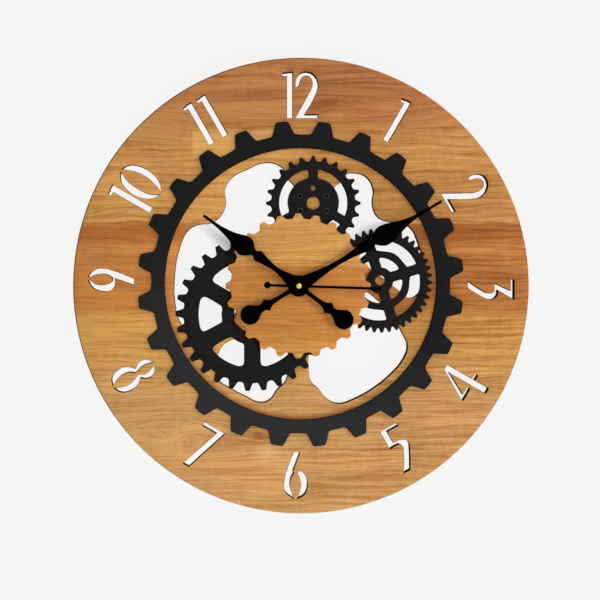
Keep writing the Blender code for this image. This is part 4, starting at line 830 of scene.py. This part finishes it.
def crossed_screw(name, node_name):
    """Countersunk screw that fills its hole: a flat head with a cross recess, and a thin grey rim that is a
    painted highlight.
    """
    low, high = (Vector(corner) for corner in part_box(node_name))
    centre = ((low.x + high.x) / 2, (low.z + high.z) / 2)
    head = (high.x - low.x) / 2
    front, back = low.y, high.y
    collar = head + 0.33 * MM
    shank, point = 1.1 * MM, 0.4 * MM
    profile = [
        (head - 0.25 * MM, front), (head, front + 0.1 * MM),
        (collar, front + 0.2 * MM), (collar, front + 1.0 * MM),
        (shank, front + 2.8 * MM), (shank, back - 0.8 * MM), (point, back),
    ]
    work = bmesh.new()
    # the first two bands round the head take the painted highlight
    rings = turned(work, profile, centre, lambda number: 1 if number < 2 else 0)
    work.faces.new(rings[-1])

    arm, half_width, recess = head * 0.56, head * 0.20, 0.9 * MM
    outline = []
    for k in range(4):
        quarter = Matrix.Rotation(k * pi / 2 + pi / 4, 2)
        for x, z in ((half_width, -half_width), (arm, -half_width), (arm, half_width)):
            outline.append(quarter @ Vector((x, z)))
    mouth, bottom = (
        [work.verts.new((centre[0] + p.x * scale, depth, centre[1] + p.y * scale)) for p in outline]
        for scale, depth in ((1, front), (0.8, front + recess))
    )
    for i in range(len(outline)):
        j = (i + 1) % len(outline)
        work.faces.new((mouth[i], mouth[j], bottom[j], bottom[i]))
    work.faces.new(bottom)
    borders = (set(rings[0]), set(mouth))
    edges = [e for e in work.edges if len(e.link_faces) == 1 and any(set(e.verts) <= b for b in borders)]
    bmesh.ops.triangle_fill(work, edges=edges, use_beauty=True)
    finish(mesh_object(name, work, [black_oxide, rim_highlight], 25), BODY, node_name)


for i in range(1, 5):
    crossed_screw(f"countersunk_screw_{i}", f"sprocket_screw_{i}")

# Hands

# the needle of the second hand swells past its node's outline
for name, node_name, body, swell in [
    ("black_hour_hand", "hour_hand", "hour_pipe", 0.0),
    ("black_minute_hand", "minute_hand", "minute_arbor", 0.0),
    ("black_second_hand", "second_hand", "seconds_arbor", 0.22 * MM),
]:
    cut_sheet(name, node_name, body, HAND_EDGE, hand_enamel, hand_enamel, swell)


def domed_cap():
    """The button on the second hand: a low dome in front of a turned shoulder, darkened by painted shade."""
    low, high = (Vector(corner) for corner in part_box("second_hand_cap"))
    radius = (high.x - low.x) / 2
    dome_radius = 0.87 * radius
    shoulder = high.y - 0.35 * (high.y - low.y)
    profile = [(0, high.y), (radius - 0.1 * MM, high.y), (radius, high.y - 0.1 * MM), (radius, shoulder)]
    for i in range(DOME_STEPS + 1):
        turn = i / DOME_STEPS * pi / 2
        profile.append((dome_radius * cos(turn), shoulder - (shoulder - low.y) * sin(turn)))
    work = bmesh.new()
    # the shoulder behind the dome takes the painted shade
    turned(work, profile, (0, 0), lambda number: 1 if number < 4 else 0)
    made = mesh_object("domed_brass_cap", work, [cap_brass, shoulder_shade], 40)
    finish(made, "seconds_arbor", "second_hand_cap")


domed_cap()
softened("minute_hand_nut_turned", "minute_hand_nut", "minute_arbor", 0.15 * MM, nut_brass)
softened("bushing_nut_turned", "bushing_nut", BODY, 0.2 * MM, nut_brass)
softened("rubber_washer_moulded", "rubber_washer", BODY, 0.2 * MM, rubber)

# Movement, seen from behind. The nodes inside it keep their meshes.

softened("black_movement_case", "movement_case", BODY, 0.5 * MM, black_abs)
softened("black_back_cover", "back_cover", BODY, 0.4 * MM, black_abs)
softened("grey_setting_knob", "setting_knob", "setting_arbor", 0.25 * MM, grey_abs)
softened("blue_cell", "battery", "cell", 0.35 * MM, cell_wrap, 3)

for material, node_names in (
    (nut_brass, ["threaded_bushing"]),
    (acetal, ["centre_wheel", "hour_wheel", "seconds_wheel", "third_wheel", "idler_wheel", "minute_wheel"]),
    (white_abs, ["train_plate"]),
    (ferrite, ["rotor"]),
    (soft_iron, ["stator", "coil_core"]),
    (copper, ["coil"]),
    (nickel, ["plus_contact", "minus_contact", "crystal_can"]),
    (board_lacquer, ["circuit_board"]),
    (chip_epoxy, ["timing_chip"]),
):
    for node_name in node_names:
        mesh = nodes[node_name].data
        mesh.materials.clear()
        mesh.materials.append(material)

# Stage


def plane(name, corners, material):
    """One flat face of the stage."""
    mesh = bpy.data.meshes.new(name)
    mesh.from_pydata(corners, [], [(0, 1, 2, 3)])
    mesh.materials.append(material)
    made = bpy.data.objects.new(name, mesh)
    bpy.context.scene.collection.objects.link(made)


def wall_paint():
    """White wall behind the clock, which shows only from in front and takes the hands' shadows alone."""
    material, tree = new_material("white_wall")
    in_view = add(tree, "LightPath", output="Is Camera Ray")
    behind = add(tree, "NewGeometry", output="Backfacing")
    in_front = add(tree, "Math", 1.0, behind, operation="SUBTRACT")
    seen = add(tree, "Math", in_view, in_front, operation="MULTIPLY")
    glow = add(tree, "Emission", linear(BACKGROUND), 1 - WALL_SHADOW)
    matt = add(tree, "BsdfDiffuse", (WALL_ALBEDO, WALL_ALBEDO, WALL_ALBEDO, 1))
    lit = add(tree, "AddShader", glow, matt)
    clear = add(tree, "BsdfTransparent")
    add(tree, "OutputMaterial", add(tree, "MixShader", seen, clear, lit))
    return material


def floor_paint():
    """Pale matt floor, slightly clouded."""
    material, tree = new_material("pale_floor")
    place = add(tree, "TexCoord", output="Object")
    cloud = spots(tree, place, (400, 400, 400))
    colour = add(tree, "Mix", named={"Factor": cloud, "A": linear("#e4e4e3"), "B": linear("#ececeb")},
                 output="Result", data_type="RGBA")
    surface(tree, colour, 0.8)
    return material


plane("wall", [
    (-WALL_HALF, WALL_PLACE, -WALL_HALF), (WALL_HALF, WALL_PLACE, -WALL_HALF),
    (WALL_HALF, WALL_PLACE, WALL_HALF), (-WALL_HALF, WALL_PLACE, WALL_HALF),
], wall_paint())
plane("floor", [
    (-FLOOR_HALF, -FLOOR_HALF, FLOOR_HEIGHT), (FLOOR_HALF, -FLOOR_HALF, FLOOR_HEIGHT),
    (FLOOR_HALF, FLOOR_HALF, FLOOR_HEIGHT), (-FLOOR_HALF, FLOOR_HALF, FLOOR_HEIGHT),
], floor_paint())

# Lamps and camera


def sun(name, towards, strength, spread, receivers, blockers=None):
    """A distant lamp that lights some pieces, in the shadow of all pieces or of those named."""
    lamp = bpy.data.lights.new(name, "SUN")
    lamp.energy = strength
    lamp.angle = spread
    made = bpy.data.objects.new(name, lamp)
    made.rotation_euler = Vector(towards).to_track_quat("-Z", "Y").to_euler()
    bpy.context.scene.collection.objects.link(made)
    made.light_linking.receiver_collection = receivers
    made.light_linking.blocker_collection = blockers


def group(name, members, state="INCLUDE"):
    """A collection that tells a lamp which pieces it lights or which throw its shadow."""
    made = bpy.data.collections.new(name)
    for number, member in enumerate(members):
        made.objects.link(bpy.data.objects[member])
        made.collection_objects[number].light_linking.link_state = state
    return made


def from_front(turn, rise):
    """The direction of light from so many degrees to the right of the front, and from so far above."""
    turn, rise = radians(turn), radians(rise)
    return Vector((-sin(turn) * cos(rise), cos(turn) * cos(rise), -sin(rise)))


WOOD = ["dial_board", "wooden_middle_gear"]
HANDS = ["black_hour_hand", "black_minute_hand", "black_second_hand"]
the_wood = group("the wood", WOOD)
not_wood = group("all but the wood and the wall", WOOD + ["wall"], "EXCLUDE")
not_wall = group("all but the wall", ["wall"], "EXCLUDE")
only_wall = group("the wall alone", ["wall"])
hands = group("the hands", HANDS)
not_hands = group("all but the hands", HANDS, "EXCLUDE")

# On the wood a large lamp low on the right throws the hands' wide soft shadows, and the key lamp all others
key_towards = from_front(KEY_FROM_FRONT, KEY_RISE)
side_towards = from_front(SIDE_FROM_FRONT, SIDE_RISE)
sun("key_lamp", key_towards, KEY_SHARE * pi / key_towards.y, KEY_SPREAD, not_wood)
sun("wood_key_lamp", key_towards, (KEY_SHARE - SIDE_SHARE) * pi / key_towards.y, KEY_SPREAD, the_wood,
    not_hands)
sun("side_lamp", side_towards, SIDE_SHARE * pi / side_towards.y, SIDE_SPREAD, the_wood, hands)
wall_light = (WALL_SHADOW / WALL_ALBEDO - AMBIENT - WALL_BOUNCE) * linear(BACKGROUND)[0]
wall_share = Vector(WALL_LAMP_TOWARDS).normalized().y
sun("wall_lamp", WALL_LAMP_TOWARDS, wall_light * pi / wall_share, KEY_SPREAD, only_wall, hands)
sun("back_lamp", BACK_LAMP_TOWARDS, BACK_LAMP * pi, BACK_SPREAD, not_wall)

# The studio is as bright as the background where it is seen or mirrored, and dimmer where it lights
world = bpy.data.worlds.new("studio")
bpy.context.scene.world = world
world.use_nodes = True
sky = world.node_tree
sky.nodes.clear()
camera_ray = add(sky, "LightPath", output="Is Camera Ray")
glossy_ray = add(sky, "LightPath", output="Is Glossy Ray")
through_ray = add(sky, "LightPath", output="Is Transmission Ray")
either_ray = add(sky, "Math", camera_ray, glossy_ray, operation="MAXIMUM")
shown_ray = add(sky, "Math", either_ray, through_ray, operation="MAXIMUM")
strength = add(sky, "MapRange", shown_ray, 0.0, 1.0, AMBIENT, 1.0)
add(sky, "OutputWorld", add(sky, "Background", linear(BACKGROUND), strength))

camera_data = bpy.data.cameras.new("camera")
camera_data.lens = CAMERA_LENS
camera_data.sensor_width = CAMERA_SENSOR
camera_data.shift_x, camera_data.shift_y = CAMERA_SHIFT
camera = bpy.data.objects.new("camera", camera_data)
camera.location = CAMERA_PLACE
camera.rotation_euler = (pi / 2, 0, 0)
bpy.context.scene.collection.objects.link(camera)
bpy.context.scene.camera = camera
bpy.context.scene.view_settings.view_transform = "Standard"
